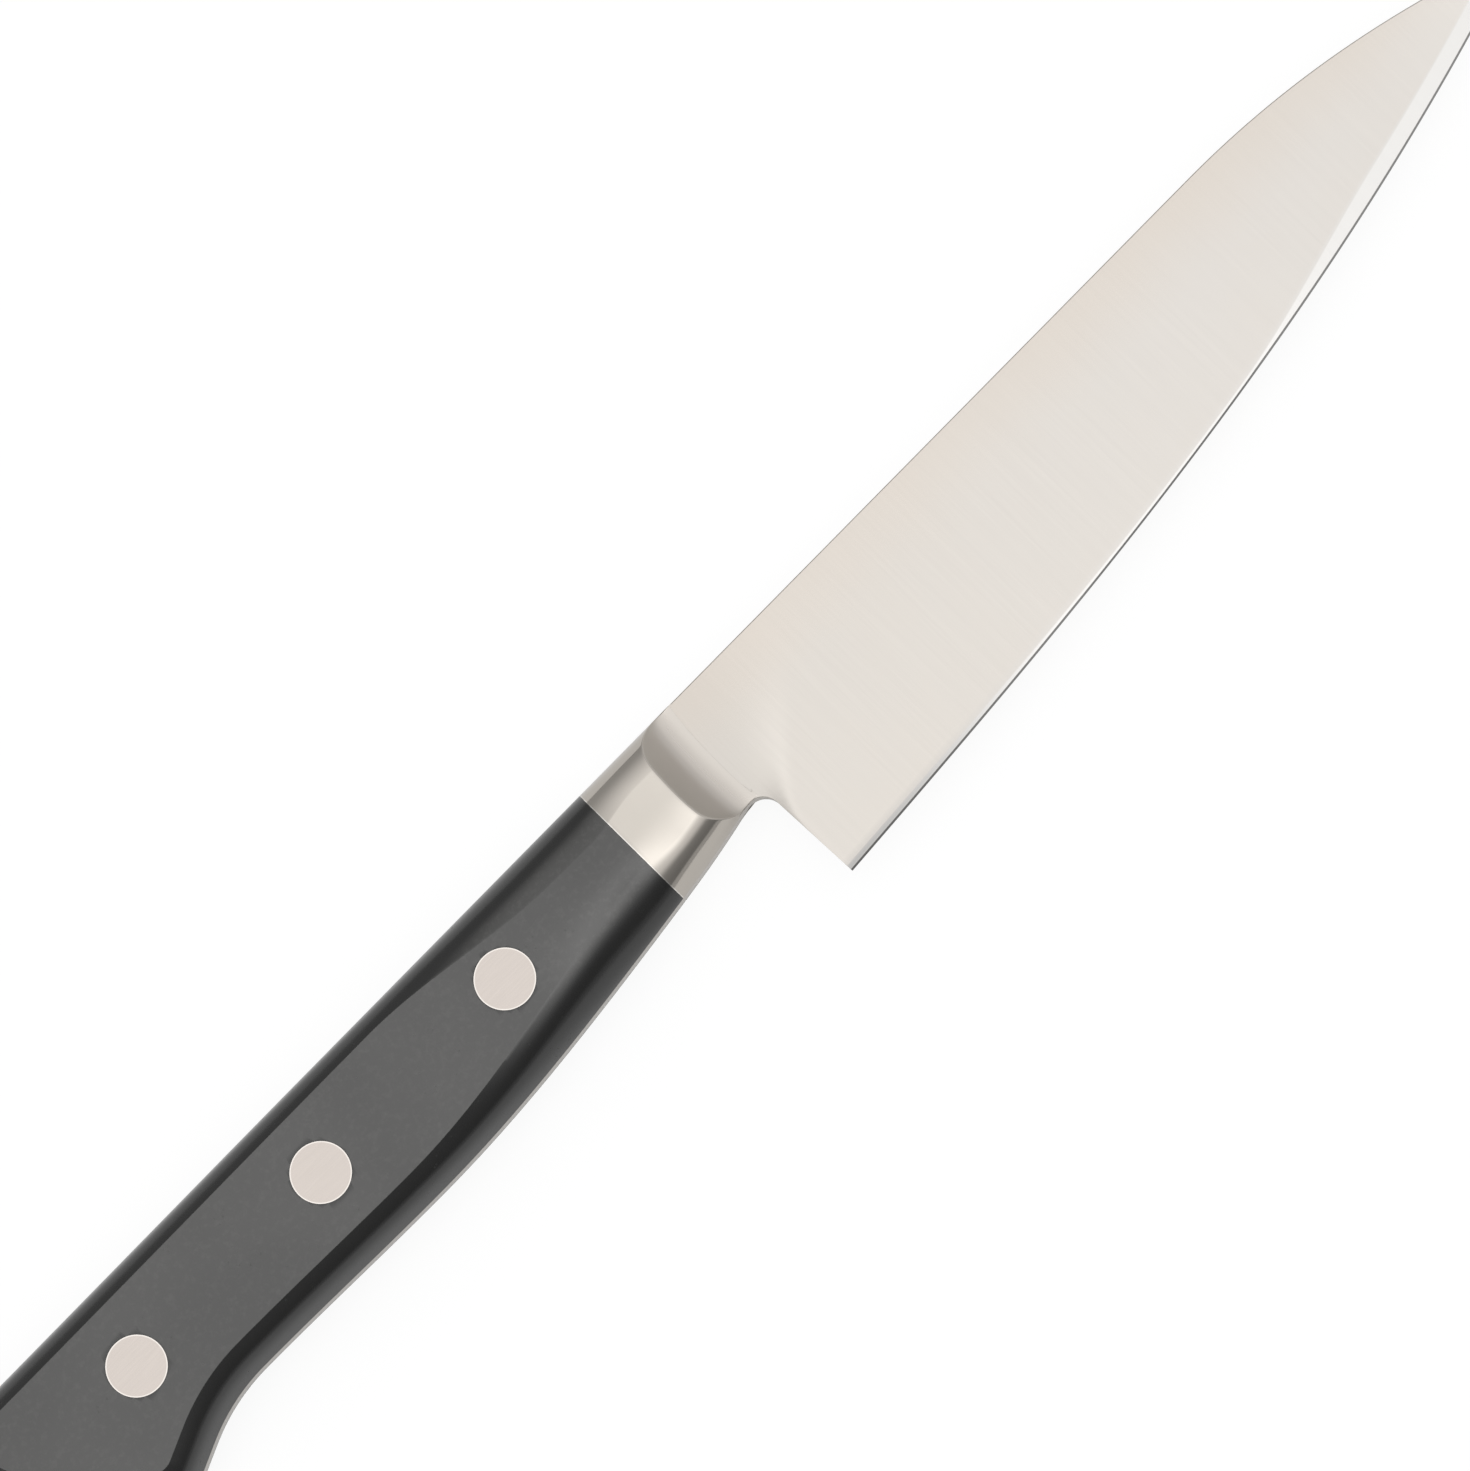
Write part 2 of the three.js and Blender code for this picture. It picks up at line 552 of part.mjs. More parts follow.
function buildKnife() {
  const knife = new THREE.Group();
  knife.add(piece('blade', bladeGeometry(), STEEL));
  const bolster = bolsterGeometry();
  knife.add(piece('bolster_right', bolster, STEEL));
  knife.add(piece('bolster_left', mirrored(bolster), STEEL));
  const scale = scaleGeometry();
  knife.add(piece('scale_right', scale, SCALE_BLACK));
  knife.add(piece('scale_left', mirrored(scale), SCALE_BLACK));
  for (const rivet of RIVETS) {
    knife.add(piece(`rivet_${rivet.name}_post`, postGeometry(rivet), RIVET_STEEL));
    knife.add(piece(`rivet_${rivet.name}_socket`, socketGeometry(rivet), RIVET_STEEL));
  }
  knife.position.set((HANDLE_LENGTH - TIP_X) / 2, HEEL_DEPTH / 2, HALF_HANDLE);
  const part = new THREE.Group();
  part.add(knife);
  return part;
}

export default buildKnife();
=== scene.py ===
"""Petty knife, dressed: a ground blade, buffed bolster halves, black scales and steel rivets.

Shapes are worked out in the knife's own axes, in millimetres: x = 0 where the scales meet the
bolster with +X towards the tip, y = 0 along the straight spine with +Y out of it, z = 0 in the
middle of the steel with +Z out of the right-hand side. KnifeFrame carries them to the row frame.
"""

import logging
import math
from collections.abc import Mapping, Sequence
from dataclasses import dataclass, field
from enum import Enum
from typing import Any

import bmesh
import bpy
import numpy as np
from mathutils import Matrix, Vector


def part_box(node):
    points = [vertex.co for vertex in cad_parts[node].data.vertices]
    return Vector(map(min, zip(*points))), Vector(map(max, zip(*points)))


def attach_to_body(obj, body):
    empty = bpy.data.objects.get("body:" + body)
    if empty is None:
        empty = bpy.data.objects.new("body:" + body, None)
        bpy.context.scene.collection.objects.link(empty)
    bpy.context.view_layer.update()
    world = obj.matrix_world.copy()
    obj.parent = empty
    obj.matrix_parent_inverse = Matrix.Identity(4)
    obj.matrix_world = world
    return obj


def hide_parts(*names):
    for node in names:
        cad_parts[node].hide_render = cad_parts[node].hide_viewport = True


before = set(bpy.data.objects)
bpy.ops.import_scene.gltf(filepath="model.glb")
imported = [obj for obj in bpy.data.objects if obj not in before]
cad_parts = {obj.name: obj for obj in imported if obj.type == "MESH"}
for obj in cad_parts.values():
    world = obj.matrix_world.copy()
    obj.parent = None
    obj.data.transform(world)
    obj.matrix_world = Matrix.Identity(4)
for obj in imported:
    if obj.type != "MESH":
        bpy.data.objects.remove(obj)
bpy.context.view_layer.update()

LOG = logging.getLogger("petty_knife")
MM = 0.001
BODY = "root"
FULL_TURN = 2 * math.pi
SAME_PLACE = 1e-9
NOISE_MEAN = 0.5
LINE_DETAIL = 3.0
LINE_HEIGHT = 2e-6
WHITE = (1.0, 1.0, 1.0, 1.0)
# Marks in the "ground" attribute; the rim's mark is where a painted highlight goes.
RIM_HIGHLIGHT_MARK, BODY_MARK, RAMP_MARK, FOOT_MARK = -1.0, 0.0, 0.5, 1.0

Array = np.ndarray
Colour = tuple[float, float, float]


class Side(Enum):
    """Side of the knife; the value is the sign of z there."""

    RIGHT = 1
    LEFT = -1


def smooth(start: float, end: float, value: Array) -> Array:
    """Smoothstep: 0 before start, 1 after end, three squares less two cubes of the share between.

    Args:
        start: Value where the step begins.
        end: Value where it is done.
        value: Where it is read.

    Returns:
        The step's height at each value.
    """
    share = np.clip((value - start) / (end - start), 0.0, 1.0)
    return share * share * (3.0 - 2.0 * share)


def mix(first: Any, second: Any, share: Any) -> Any:
    """Straight blend from first to second by share."""
    return first + (second - first) * share


def arc(centre: Sequence[float], radius: float, start: float, end: float, count: int) -> Array:
    """Circle's arc: the centre plus the radius times cosine and sine of an even run of angles.

    Args:
        centre: Centre of the circle.
        radius: Its radius.
        start: First angle, in radians.
        end: Last angle.
        count: Number of points.

    Returns:
        Points as rows of x and y.
    """
    turn = np.linspace(start, end, count)
    return np.column_stack((centre[0] + radius * np.cos(turn), centre[1] + radius * np.sin(turn)))


def bezier(start: Sequence[float], arm: Sequence[float], back_arm: Sequence[float],
           end: Sequence[float], count: int) -> Array:
    """Cubic curve: its four points weighted by the Bernstein terms of an even run of shares.

    Args:
        start: First point.
        arm: Point that the curve leaves towards.
        back_arm: Point that it arrives from.
        end: Last point.
        count: Number of points along it.

    Returns:
        Points as rows of x and y.
    """
    share = np.linspace(0.0, 1.0, count)[:, None]
    rest = 1.0 - share
    near = rest ** 3 * np.asarray(start) + 3 * rest ** 2 * share * np.asarray(arm)
    far = 3 * rest * share ** 2 * np.asarray(back_arm) + share ** 3 * np.asarray(end)
    return near + far


def chain(*lines: Array) -> Array:
    """Lines joined end to end, each shared point kept once.

    Args:
        lines: Rows of points; each line starts where the one before it ends.

    Returns:
        One line.
    """
    joined = np.vstack(lines)
    steps = np.linalg.norm(np.diff(joined, axis=0), axis=1)
    return joined[np.concatenate(([True], steps > SAME_PLACE))]


def spaced(line: Array, count: int) -> Array:
    """Points at even lengths along a line, read by linear interpolation.

    Args:
        line: Rows of points.
        count: Number of points wanted.

    Returns:
        Rows of x and y.
    """
    length = np.concatenate(([0.0], np.cumsum(np.linalg.norm(np.diff(line, axis=0), axis=1))))
    wanted = np.linspace(0.0, length[-1], count)
    return np.column_stack([np.interp(wanted, length, line[:, axis]) for axis in (0, 1)])


def box_mm(node: str) -> tuple[Array, Array]:
    """Lowest and highest corner of a CAD node, in millimetres of the row frame."""
    low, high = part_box(node)
    return np.array(low) / MM, np.array(high) / MM


@dataclass(frozen=True)
class KnifeFrame:
    """Where the knife's axes lie in the row frame, and the main sizes that its solids give."""

    joint: float
    spine: float
    middle: float
    half_steel: float
    half_handle: float
    handle_length: float
    tip: float

    @classmethod
    def from_solids(cls) -> "KnifeFrame":
        """Axes and sizes read from the boxes of the CAD nodes.

        Returns:
            The knife's frame.
        """
        blade_low, blade_high = box_mm("blade")
        scale_low, scale_high = box_mm("scale_right")
        middle = (blade_low[2] + blade_high[2]) / 2
        return cls(
            joint=scale_high[0],
            spine=blade_high[1],
            middle=middle,
            half_steel=scale_low[2] - middle,
            half_handle=scale_high[2] - middle,
            handle_length=scale_high[0] - scale_low[0],
            tip=blade_high[0] - scale_high[0],
        )

    def placed(self, points: Array) -> Array:
        """Points of the knife's axes as metres of the row frame."""
        return (points + np.array((self.joint, self.spine, self.middle))) * MM


class Surface:
    """Grids of points gathered into one closed mesh."""

    WELD = 4e-7

    def __init__(self, knife: KnifeFrame) -> None:
        """Empty surface in a knife's axes."""
        self.knife = knife
        self.points: list[Array] = []
        self.faces: list[Array] = []
        self.shades: list[Array] = []
        self.count = 0

    def add(self, grid: Array, closed: bool = False, shade: Array | None = None) -> None:
        """Adds a sheet whose quads join neighbours on a grid of points.

        Args:
            grid: Points in the knife's axes, as rows by columns by three.
            closed: Whether the last column joins the first.
            shade: A number for each point, kept as the mesh's "ground" attribute: a finish mark, or where
                sheen or a highlight is painted.
        """
        rows, columns = grid.shape[:2]
        index = np.arange(rows * columns).reshape(rows, columns) + self.count
        if closed:
            index = np.column_stack((index, index[:, 0]))
        quads = np.stack((index[:-1, :-1], index[:-1, 1:], index[1:, 1:], index[1:, :-1]), axis=-1)
        self.points.append(grid.reshape(-1, 3))
        self.faces.append(quads.reshape(-1, 4))
        self.shades.append(np.zeros(rows * columns) if shade is None else shade.reshape(-1))
        self.count += rows * columns

    def piece(self, name: str, sharp_angle: float) -> bpy.types.Object:
        """Welds the sheets, turns the faces outwards and shades them smooth up to an angle.

        Args:
            name: Name of the new object.
            sharp_angle: Angle in degrees above which an edge stays crisp.

        Returns:
            The object, at the origin, with its place in its mesh.
        """
        points = self.knife.placed(np.vstack(self.points))
        mesh = bpy.data.meshes.new(name)
        mesh.from_pydata(points.tolist(), [], np.vstack(self.faces).tolist())
        ground = mesh.attributes.new("ground", "FLOAT", "POINT")
        ground.data.foreach_set("value", np.concatenate(self.shades).astype(np.float32))
        shell = bmesh.new()
        shell.from_mesh(mesh)
        bmesh.ops.remove_doubles(shell, verts=shell.verts, dist=self.WELD)
        bmesh.ops.recalc_face_normals(shell, faces=shell.faces)
        shell.to_mesh(mesh)
        shell.free()
        shade_smooth(mesh, sharp_angle)
        piece = bpy.data.objects.new(name, mesh)
        bpy.context.scene.collection.objects.link(piece)
        return piece


def shade_smooth(mesh: bpy.types.Mesh, sharp_angle: float) -> None:
    """Smooth shading, with edges above an angle in degrees left crisp."""
    mesh.polygons.foreach_set("use_smooth", np.ones(len(mesh.polygons), dtype=bool))
    mesh.set_sharp_from_angle(angle=math.radians(sharp_angle))
    mesh.update()


def lathe(place: Sequence[float], profile: Array, sides: int) -> Array:
    """Turned sheet: each radius and height of a profile carried round an upright axis.

    Args:
        place: Knife x and y of the axis.
        profile: Rows of radius and height.
        sides: Number of points round the axis.

    Returns:
        Grid of profile by sides by three, closed in its second direction.
    """
    turn = np.linspace(0.0, FULL_TURN, sides, endpoint=False)
    radius, height = profile[:, :1], profile[:, 1:]
    x = place[0] + radius * np.cos(turn)
    y = place[1] + radius * np.sin(turn)
    return np.stack((x, y, np.broadcast_to(height, x.shape)), axis=-1)


def cut(piece: bpy.types.Object, cutters: Sequence[bpy.types.Object], sharp_angle: float) -> None:
    """Subtracts solids from a piece for good, and takes the solids away.

    Args:
        piece: Object that is cut.
        cutters: Closed solids that stand for the holes.
        sharp_angle: Angle in degrees above which an edge stays crisp.
    """
    for cutter in cutters:
        hole = piece.modifiers.new("hole", "BOOLEAN")
        hole.operation = "DIFFERENCE"
        hole.solver = "EXACT"
        hole.object = cutter
    depsgraph = bpy.context.evaluated_depsgraph_get()
    whole = piece.data
    piece.data = bpy.data.meshes.new_from_object(piece.evaluated_get(depsgraph))
    piece.modifiers.clear()
    bpy.data.meshes.remove(whole)
    for cutter in cutters:
        solid = cutter.data
        bpy.data.objects.remove(cutter)
        bpy.data.meshes.remove(solid)
    shade_smooth(piece.data, sharp_angle)


def attach(piece: bpy.types.Object, node: str, material: bpy.types.Material) -> None:
    """Dresses a piece, lets it stand for a CAD node and reports it.

    Args:
        piece: Finished object.
        node: CAD node that it replaces.
        material: Finish of the piece.
    """
    piece.data.materials.clear()
    piece.data.materials.append(material)
    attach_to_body(piece, BODY)
    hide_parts(node)
    LOG.info("%s: %d faces, stands for %s", piece.name, len(piece.data.polygons), node)


class Wire:
    """Output of a shader node; arithmetic on it adds Math nodes."""

    def __init__(self, board: "Board", socket: bpy.types.NodeSocket) -> None:
        """Wraps a socket of a board."""
        self.board = board
        self.socket = socket

    def __add__(self, other: "Value") -> "Wire":
        """Sum."""
        return self.board.math("ADD", self, other)

    __radd__ = __add__

    def __mul__(self, other: "Value") -> "Wire":
        """Product."""
        return self.board.math("MULTIPLY", self, other)

    __rmul__ = __mul__

    def __sub__(self, other: "Value") -> "Wire":
        """Difference."""
        return self.board.math("SUBTRACT", self, other)

    def __rsub__(self, other: "Value") -> "Wire":
        """Difference from a number."""
        return self.board.math("SUBTRACT", other, self)

    def __pow__(self, other: "Value") -> "Wire":
        """Power."""
        return self.board.math("POWER", self, other)


Value = Wire | float


class Board:
    """Node tree that a finish is wired on."""

    MIX_FACTOR, MIX_FIRST, MIX_SECOND, MIX_RESULT = 0, 6, 7, 2

    def __init__(self, tree: bpy.types.NodeTree) -> None:
        """Clears a tree for new nodes."""
        self.tree = tree
        tree.nodes.clear()

    def node(self, kind: str, settings: Mapping[str, Any] | None = None,
             sockets: Mapping[str | int, Any] | None = None, out: str | int = 0) -> Wire:
        """Adds a node.

        Args:
            kind: Node's type.
            settings: Its own properties.
            sockets: Values or wires for its inputs.
            out: Output that is returned.

        Returns:
            That output.
        """
        node = self.tree.nodes.new(kind)
        for name, value in (settings or {}).items():
            setattr(node, name, value)
        for name, value in (sockets or {}).items():
            if isinstance(value, Wire):
                self.tree.links.new(value.socket, node.inputs[name])
            else:
                node.inputs[name].default_value = value
        return Wire(self, node.outputs[out]) if node.outputs else Wire(self, None)

    def math(self, operation: str, first: Value, second: Value) -> Wire:
        """Math node of two values."""
        return self.node("ShaderNodeMath", {"operation": operation}, {0: first, 1: second})

    def clamped(self, value: Wire) -> Wire:
        """Value held between 0 and 1."""
        return self.node("ShaderNodeClamp", None, {"Value": value})

    def step(self, value: Wire, start: float, end: float) -> Wire:
        """Smooth step of a value from 0 at start to 1 at end."""
        settings = {"interpolation_type": "SMOOTHSTEP"}
        return self.node("ShaderNodeMapRange", settings, {"Value": value, "From Min": start, "From Max": end})

    def blend(self, first: Wire | Colour, second: Wire | Colour, share: Value) -> Wire:
        """Colour between two colours.

        Args:
            first: Colour at share 0.
            second: Colour at share 1.
            share: How far from the first to the second.

        Returns:
            The blended colour.
        """
        ends = [end if isinstance(end, Wire) else (*end, 1.0) for end in (first, second)]
        sockets = {self.MIX_FACTOR: share, self.MIX_FIRST: ends[0], self.MIX_SECOND: ends[1]}
        return self.node("ShaderNodeMix", {"data_type": "RGBA"}, sockets, self.MIX_RESULT)

    def place(self, stretch: Sequence[float] = (1.0, 1.0, 1.0), turn: float = 0.0) -> Wire:
        """Object coordinates, turned about z by an angle and then stretched along each axis.

        Args:
            stretch: Factor along each axis; a larger one makes a pattern finer that way.
            turn: Angle in radians.

        Returns:
            The coordinates.
        """
        point = self.node("ShaderNodeTexCoord", None, None, "Object")
        sockets = {"Vector": point, "Rotation": (0.0, 0.0, turn), "Scale": tuple(stretch)}
        return self.node("ShaderNodeMapping", {"vector_type": "POINT"}, sockets)

    def noise(self, point: Wire, scale: float, detail: float = 2.0, roughness: float = 0.5) -> Wire:
        """Noise from 0 to 1 with a number of cells per metre."""
        sockets = {"Vector": point, "Scale": scale, "Detail": detail, "Roughness": roughness}
        return self.node("ShaderNodeTexNoise", None, sockets)

    def ground(self) -> Wire:
        """Mesh's own "ground" attribute, from -1 to 1: finish marks, and where sheen or highlights are
        painted.
        """
        return self.node("ShaderNodeAttribute", {"attribute_name": "ground"}, None, "Fac")

    def axis(self, name: str) -> Wire:
        """One of the object coordinates, in metres."""
        point = self.node("ShaderNodeTexCoord", None, None, "Object")
        return self.node("ShaderNodeSeparateXYZ", None, {"Vector": point}, name)

    def bump(self, height: Wire, strength: float, distance: float) -> Wire:
        """Normal bent by a height of 0 to 1 over a distance in metres."""
        sockets = {"Height": height, "Strength": strength, "Distance": distance}
        return self.node("ShaderNodeBump", None, sockets)

    def finish(self, shader: Wire) -> None:
        """Joins a shader to the material's output."""
        self.node("ShaderNodeOutputMaterial", None, {"Surface": shader})


def new_board(name: str) -> tuple[bpy.types.Material, Board]:
    """Material with an empty node tree.

    Args:
        name: Name of the material.

    Returns:
        The material and the board to wire it on.
    """
    material = bpy.data.materials.new(name)
    material.use_nodes = True
    return material, Board(material.node_tree)


@dataclass(frozen=True)
class GroundSteel:
    """Blade's finish: satin steel with fine lines from spine to edge, its bevel darker at the heel."""

    colour: Colour = (0.568, 0.540, 0.509)
    spine_colour: Colour = (0.565, 0.518, 0.469)
    heel_colour: Colour = (0.554, 0.522, 0.484)
    bevel_colour: Colour = (0.560, 0.550, 0.536)
    heel_bevel_colour: Colour = (0.310, 0.304, 0.297)
    bevel_reach: float = 0.040
    roughness: float = 0.24
    bevel_roughness: float = 0.16
    spine_y: float = 0.0
    heel_x: float = 0.0
    warm_depth: float = 0.010
    warm_level: float = 0.8
    cloud_level: float = 0.5
    line_roughness: float = 0.08
    line_bump: float = 0.12
    heel_reach: float = 0.085
    lines_per_metre: float = 5200.0
    line_length: float = 90.0
    cloud_scale: float = 120.0

    def material(self) -> bpy.types.Material:
        """Wires the finish.

        Returns:
            The material.
        """
        material, board = new_board("ground_steel")
        stretch = (self.lines_per_metre / self.line_length, 1.0, 1.0)
        lines = board.noise(board.place(stretch), self.line_length, LINE_DETAIL)
        clouds = board.noise(board.place(), self.cloud_scale)
        bevel = board.ground()
        warm = board.step(board.axis("Y"), self.spine_y - self.warm_depth, self.spine_y)
        warm = board.clamped(warm * self.warm_level + (clouds - NOISE_MEAN) * self.cloud_level)
        heel = 1.0 - board.step(board.axis("X"), self.heel_x, self.heel_x + self.heel_reach)
        body = board.blend(board.blend(self.colour, self.heel_colour, heel), self.spine_colour, warm)
        far = board.step(board.axis("X"), self.heel_x, self.heel_x + self.bevel_reach)
        colour = board.blend(body, board.blend(self.heel_bevel_colour, self.bevel_colour, far), bevel)
        shift = self.bevel_roughness - self.roughness
        roughness = self.roughness + bevel * shift + (lines - NOISE_MEAN) * self.line_roughness
        shader = board.node("ShaderNodeBsdfPrincipled", None, {
            "Base Color": colour,
            "Metallic": 1.0,
            "Roughness": roughness,
            "Normal": board.bump(lines, self.line_bump, LINE_HEIGHT),
        })
        board.finish(shader)
        return material


@dataclass(frozen=True)
class BuffedSteel:
    """Bolster's finish: wheel-buffed steel, nearly a mirror, and a belt-ground ramp in front, with a painted
    highlight on the rim at the joint and a painted lighter band halfway down the ramp.
    """

    colour: Colour = (0.560, 0.522, 0.474)
    # Painted highlight on the rim at the joint.
    rim_highlight_colour: Colour = (0.800, 0.770, 0.730)
    # Painted lighter band halfway down the ramp, a painted highlight.
    ramp_highlight_colour: Colour = (0.645, 0.600, 0.552)
    foot_colour: Colour = (0.556, 0.521, 0.481)
    roughness: float = 0.12
    belt_roughness: float = 0.36
    foot_roughness: float = 0.24
    streaks_per_metre: float = 3000.0
    streak_length: float = 120.0
    streak_roughness: float = 0.06
    streak_bump: float = 0.08
    cloud_scale: float = 260.0
    cloud_shade: float = 0.95

    def material(self) -> bpy.types.Material:
        """Wires the finish.

        Returns:
            The material.
        """
        material, board = new_board("buffed_steel")
        stretch = (self.streaks_per_metre / self.streak_length, 1.0, 1.0)
        streaks = board.noise(board.place(stretch), self.streak_length, LINE_DETAIL)
        clouds = board.noise(board.place(), self.cloud_scale)
        darker = tuple(level * self.cloud_shade for level in self.colour)
        ramp = board.step(board.ground(), BODY_MARK, RAMP_MARK)
        foot = board.step(board.ground(), RAMP_MARK, FOOT_MARK)
        roughness = self.roughness + ramp * (self.belt_roughness - self.roughness)
        roughness = roughness + foot * (self.foot_roughness - self.belt_roughness)
        # A parabola that is 1 halfway down the ramp, where the colour is painted lighter: a painted highlight
        # band.
        middle = foot * (1.0 - foot) * 4.0
        # Painted highlight on the rim at the joint.
        rim = board.step(board.ground(), BODY_MARK, RIM_HIGHLIGHT_MARK)
        buffed = board.blend(board.blend(self.colour, darker, clouds), self.rim_highlight_colour, rim)
        shader = board.node("ShaderNodeBsdfPrincipled", None, {
            "Base Color": board.blend(board.blend(buffed, self.foot_colour, foot), self.ramp_highlight_colour, middle),
            "Metallic": 1.0,
            "Roughness": roughness + (streaks - NOISE_MEAN) * self.streak_roughness,
            "Normal": board.bump(streaks, self.streak_bump, LINE_HEIGHT),
        })
        board.finish(shader)
        return material


@dataclass(frozen=True)
class RivetSteel:
    """Rivets' finish: ground flush with the scales, with fine straight lines and a painted highlight inside
    the rim.
    """

    colour: Colour = (0.570, 0.517, 0.478)
    # Painted highlight inside the head's rim.
    rim_highlight_colour: Colour = (0.780, 0.735, 0.690)
    roughness: float = 0.22
    lines_per_metre: float = 6000.0
    line_length: float = 260.0
    line_turn: float = math.radians(24.0)
    line_shade: float = 0.93
    line_roughness: float = 0.1
    line_bump: float = 0.12

    def material(self) -> bpy.types.Material:
        """Wires the finish.

        Returns:
            The material.
        """
        material, board = new_board("rivet_steel")
        stretch = (1.0, self.lines_per_metre / self.line_length, 1.0)
        lines = board.noise(board.place(stretch, self.line_turn), self.line_length, LINE_DETAIL)
        darker = tuple(level * self.line_shade for level in self.colour)
        lined = board.blend(self.colour, darker, lines)
        # The head's rim is painted lighter: a painted highlight.
        shader = board.node("ShaderNodeBsdfPrincipled", None, {
            "Base Color": board.blend(lined, self.rim_highlight_colour, board.ground()),
            "Metallic": 1.0,
            "Roughness": self.roughness + (lines - NOISE_MEAN) * self.line_roughness,
            "Normal": board.bump(lines, self.line_bump, LINE_HEIGHT),
        })
        board.finish(shader)
        return material


@dataclass(frozen=True)
class BlackScale:
    """Scales' finish: black pressed composite, satin, with a painted pale sheen on the flat face, mottled
    with flecks and clouds, and small dark pits.
    """

    colour: Colour = (0.0072, 0.0072, 0.0068)
    # Colour of the painted sheen on the flat face; the flecks in it are paler.
    sheen_colour: Colour = (0.090, 0.0883, 0.0850)
    fleck_colour: Colour = (0.150, 0.147, 0.1415)
    roughness: float = 0.21
    index: float = 1.7
    specular: float = 0.46
    fleck_scale: float = 1500.0
    fleck_detail: float = 3.0
    fleck_grit: float = 0.6
    fleck_range: tuple[float, float] = (0.45, 0.75)
    fleck_level: float = 0.5
    fleck_roughness: float = 0.10
    fleck_height: float = 0.5
    pit_scale: float = 1100.0
    pit_edge: tuple[float, float] = (0.05, 0.20)
    pit_spread: float = 0.35
    pit_detail: float = 1.0
    pit_range: tuple[float, float] = (0.55, 0.65)
    pit_roughness: float = 0.25
    cloud_scale: float = 55.0
    cloud_range: tuple[float, float] = (0.3, 0.7)
    cloud_level: float = 0.4
    bump: float = 0.12
    bump_height: float = 2e-5

    def material(self) -> bpy.types.Material:
        """Wires the finish.

        Returns:
            The material.
        """
        material, board = new_board("black_scale")
        point = board.place()
        flecks = board.noise(point, self.fleck_scale, self.fleck_detail, self.fleck_grit)
        clouds = board.noise(point, self.cloud_scale)
        sockets = {"Vector": point, "Scale": self.pit_scale}
        cells = board.node("ShaderNodeTexVoronoi", None, sockets, "Distance")
        patches = board.noise(point, self.pit_scale * self.pit_spread, self.pit_detail)
        pits = (1.0 - board.step(cells, *self.pit_edge)) * board.step(patches, *self.pit_range)
        # Flecks and clouds mottle the painted sheen.
        fleck_part = board.step(flecks, *self.fleck_range) * self.fleck_level
        pale_share = board.clamped(fleck_part + board.step(clouds, *self.cloud_range) * self.cloud_level)
        sheen_tone = board.blend(self.sheen_colour, self.fleck_colour, pale_share)
        roughness = self.roughness + (flecks - NOISE_MEAN) * self.fleck_roughness + pits * self.pit_roughness
        # The painted sheen is laid over the black where the mesh's mark says so.
        shader = board.node("ShaderNodeBsdfPrincipled", None, {
            "Base Color": board.blend(self.colour, sheen_tone, board.ground()),
            "Roughness": roughness,
            "IOR": self.index,
            "Specular IOR Level": self.specular,
            "Normal": board.bump(flecks * self.fleck_height - pits, self.bump, self.bump_height),
        })
        board.finish(shader)
        return material


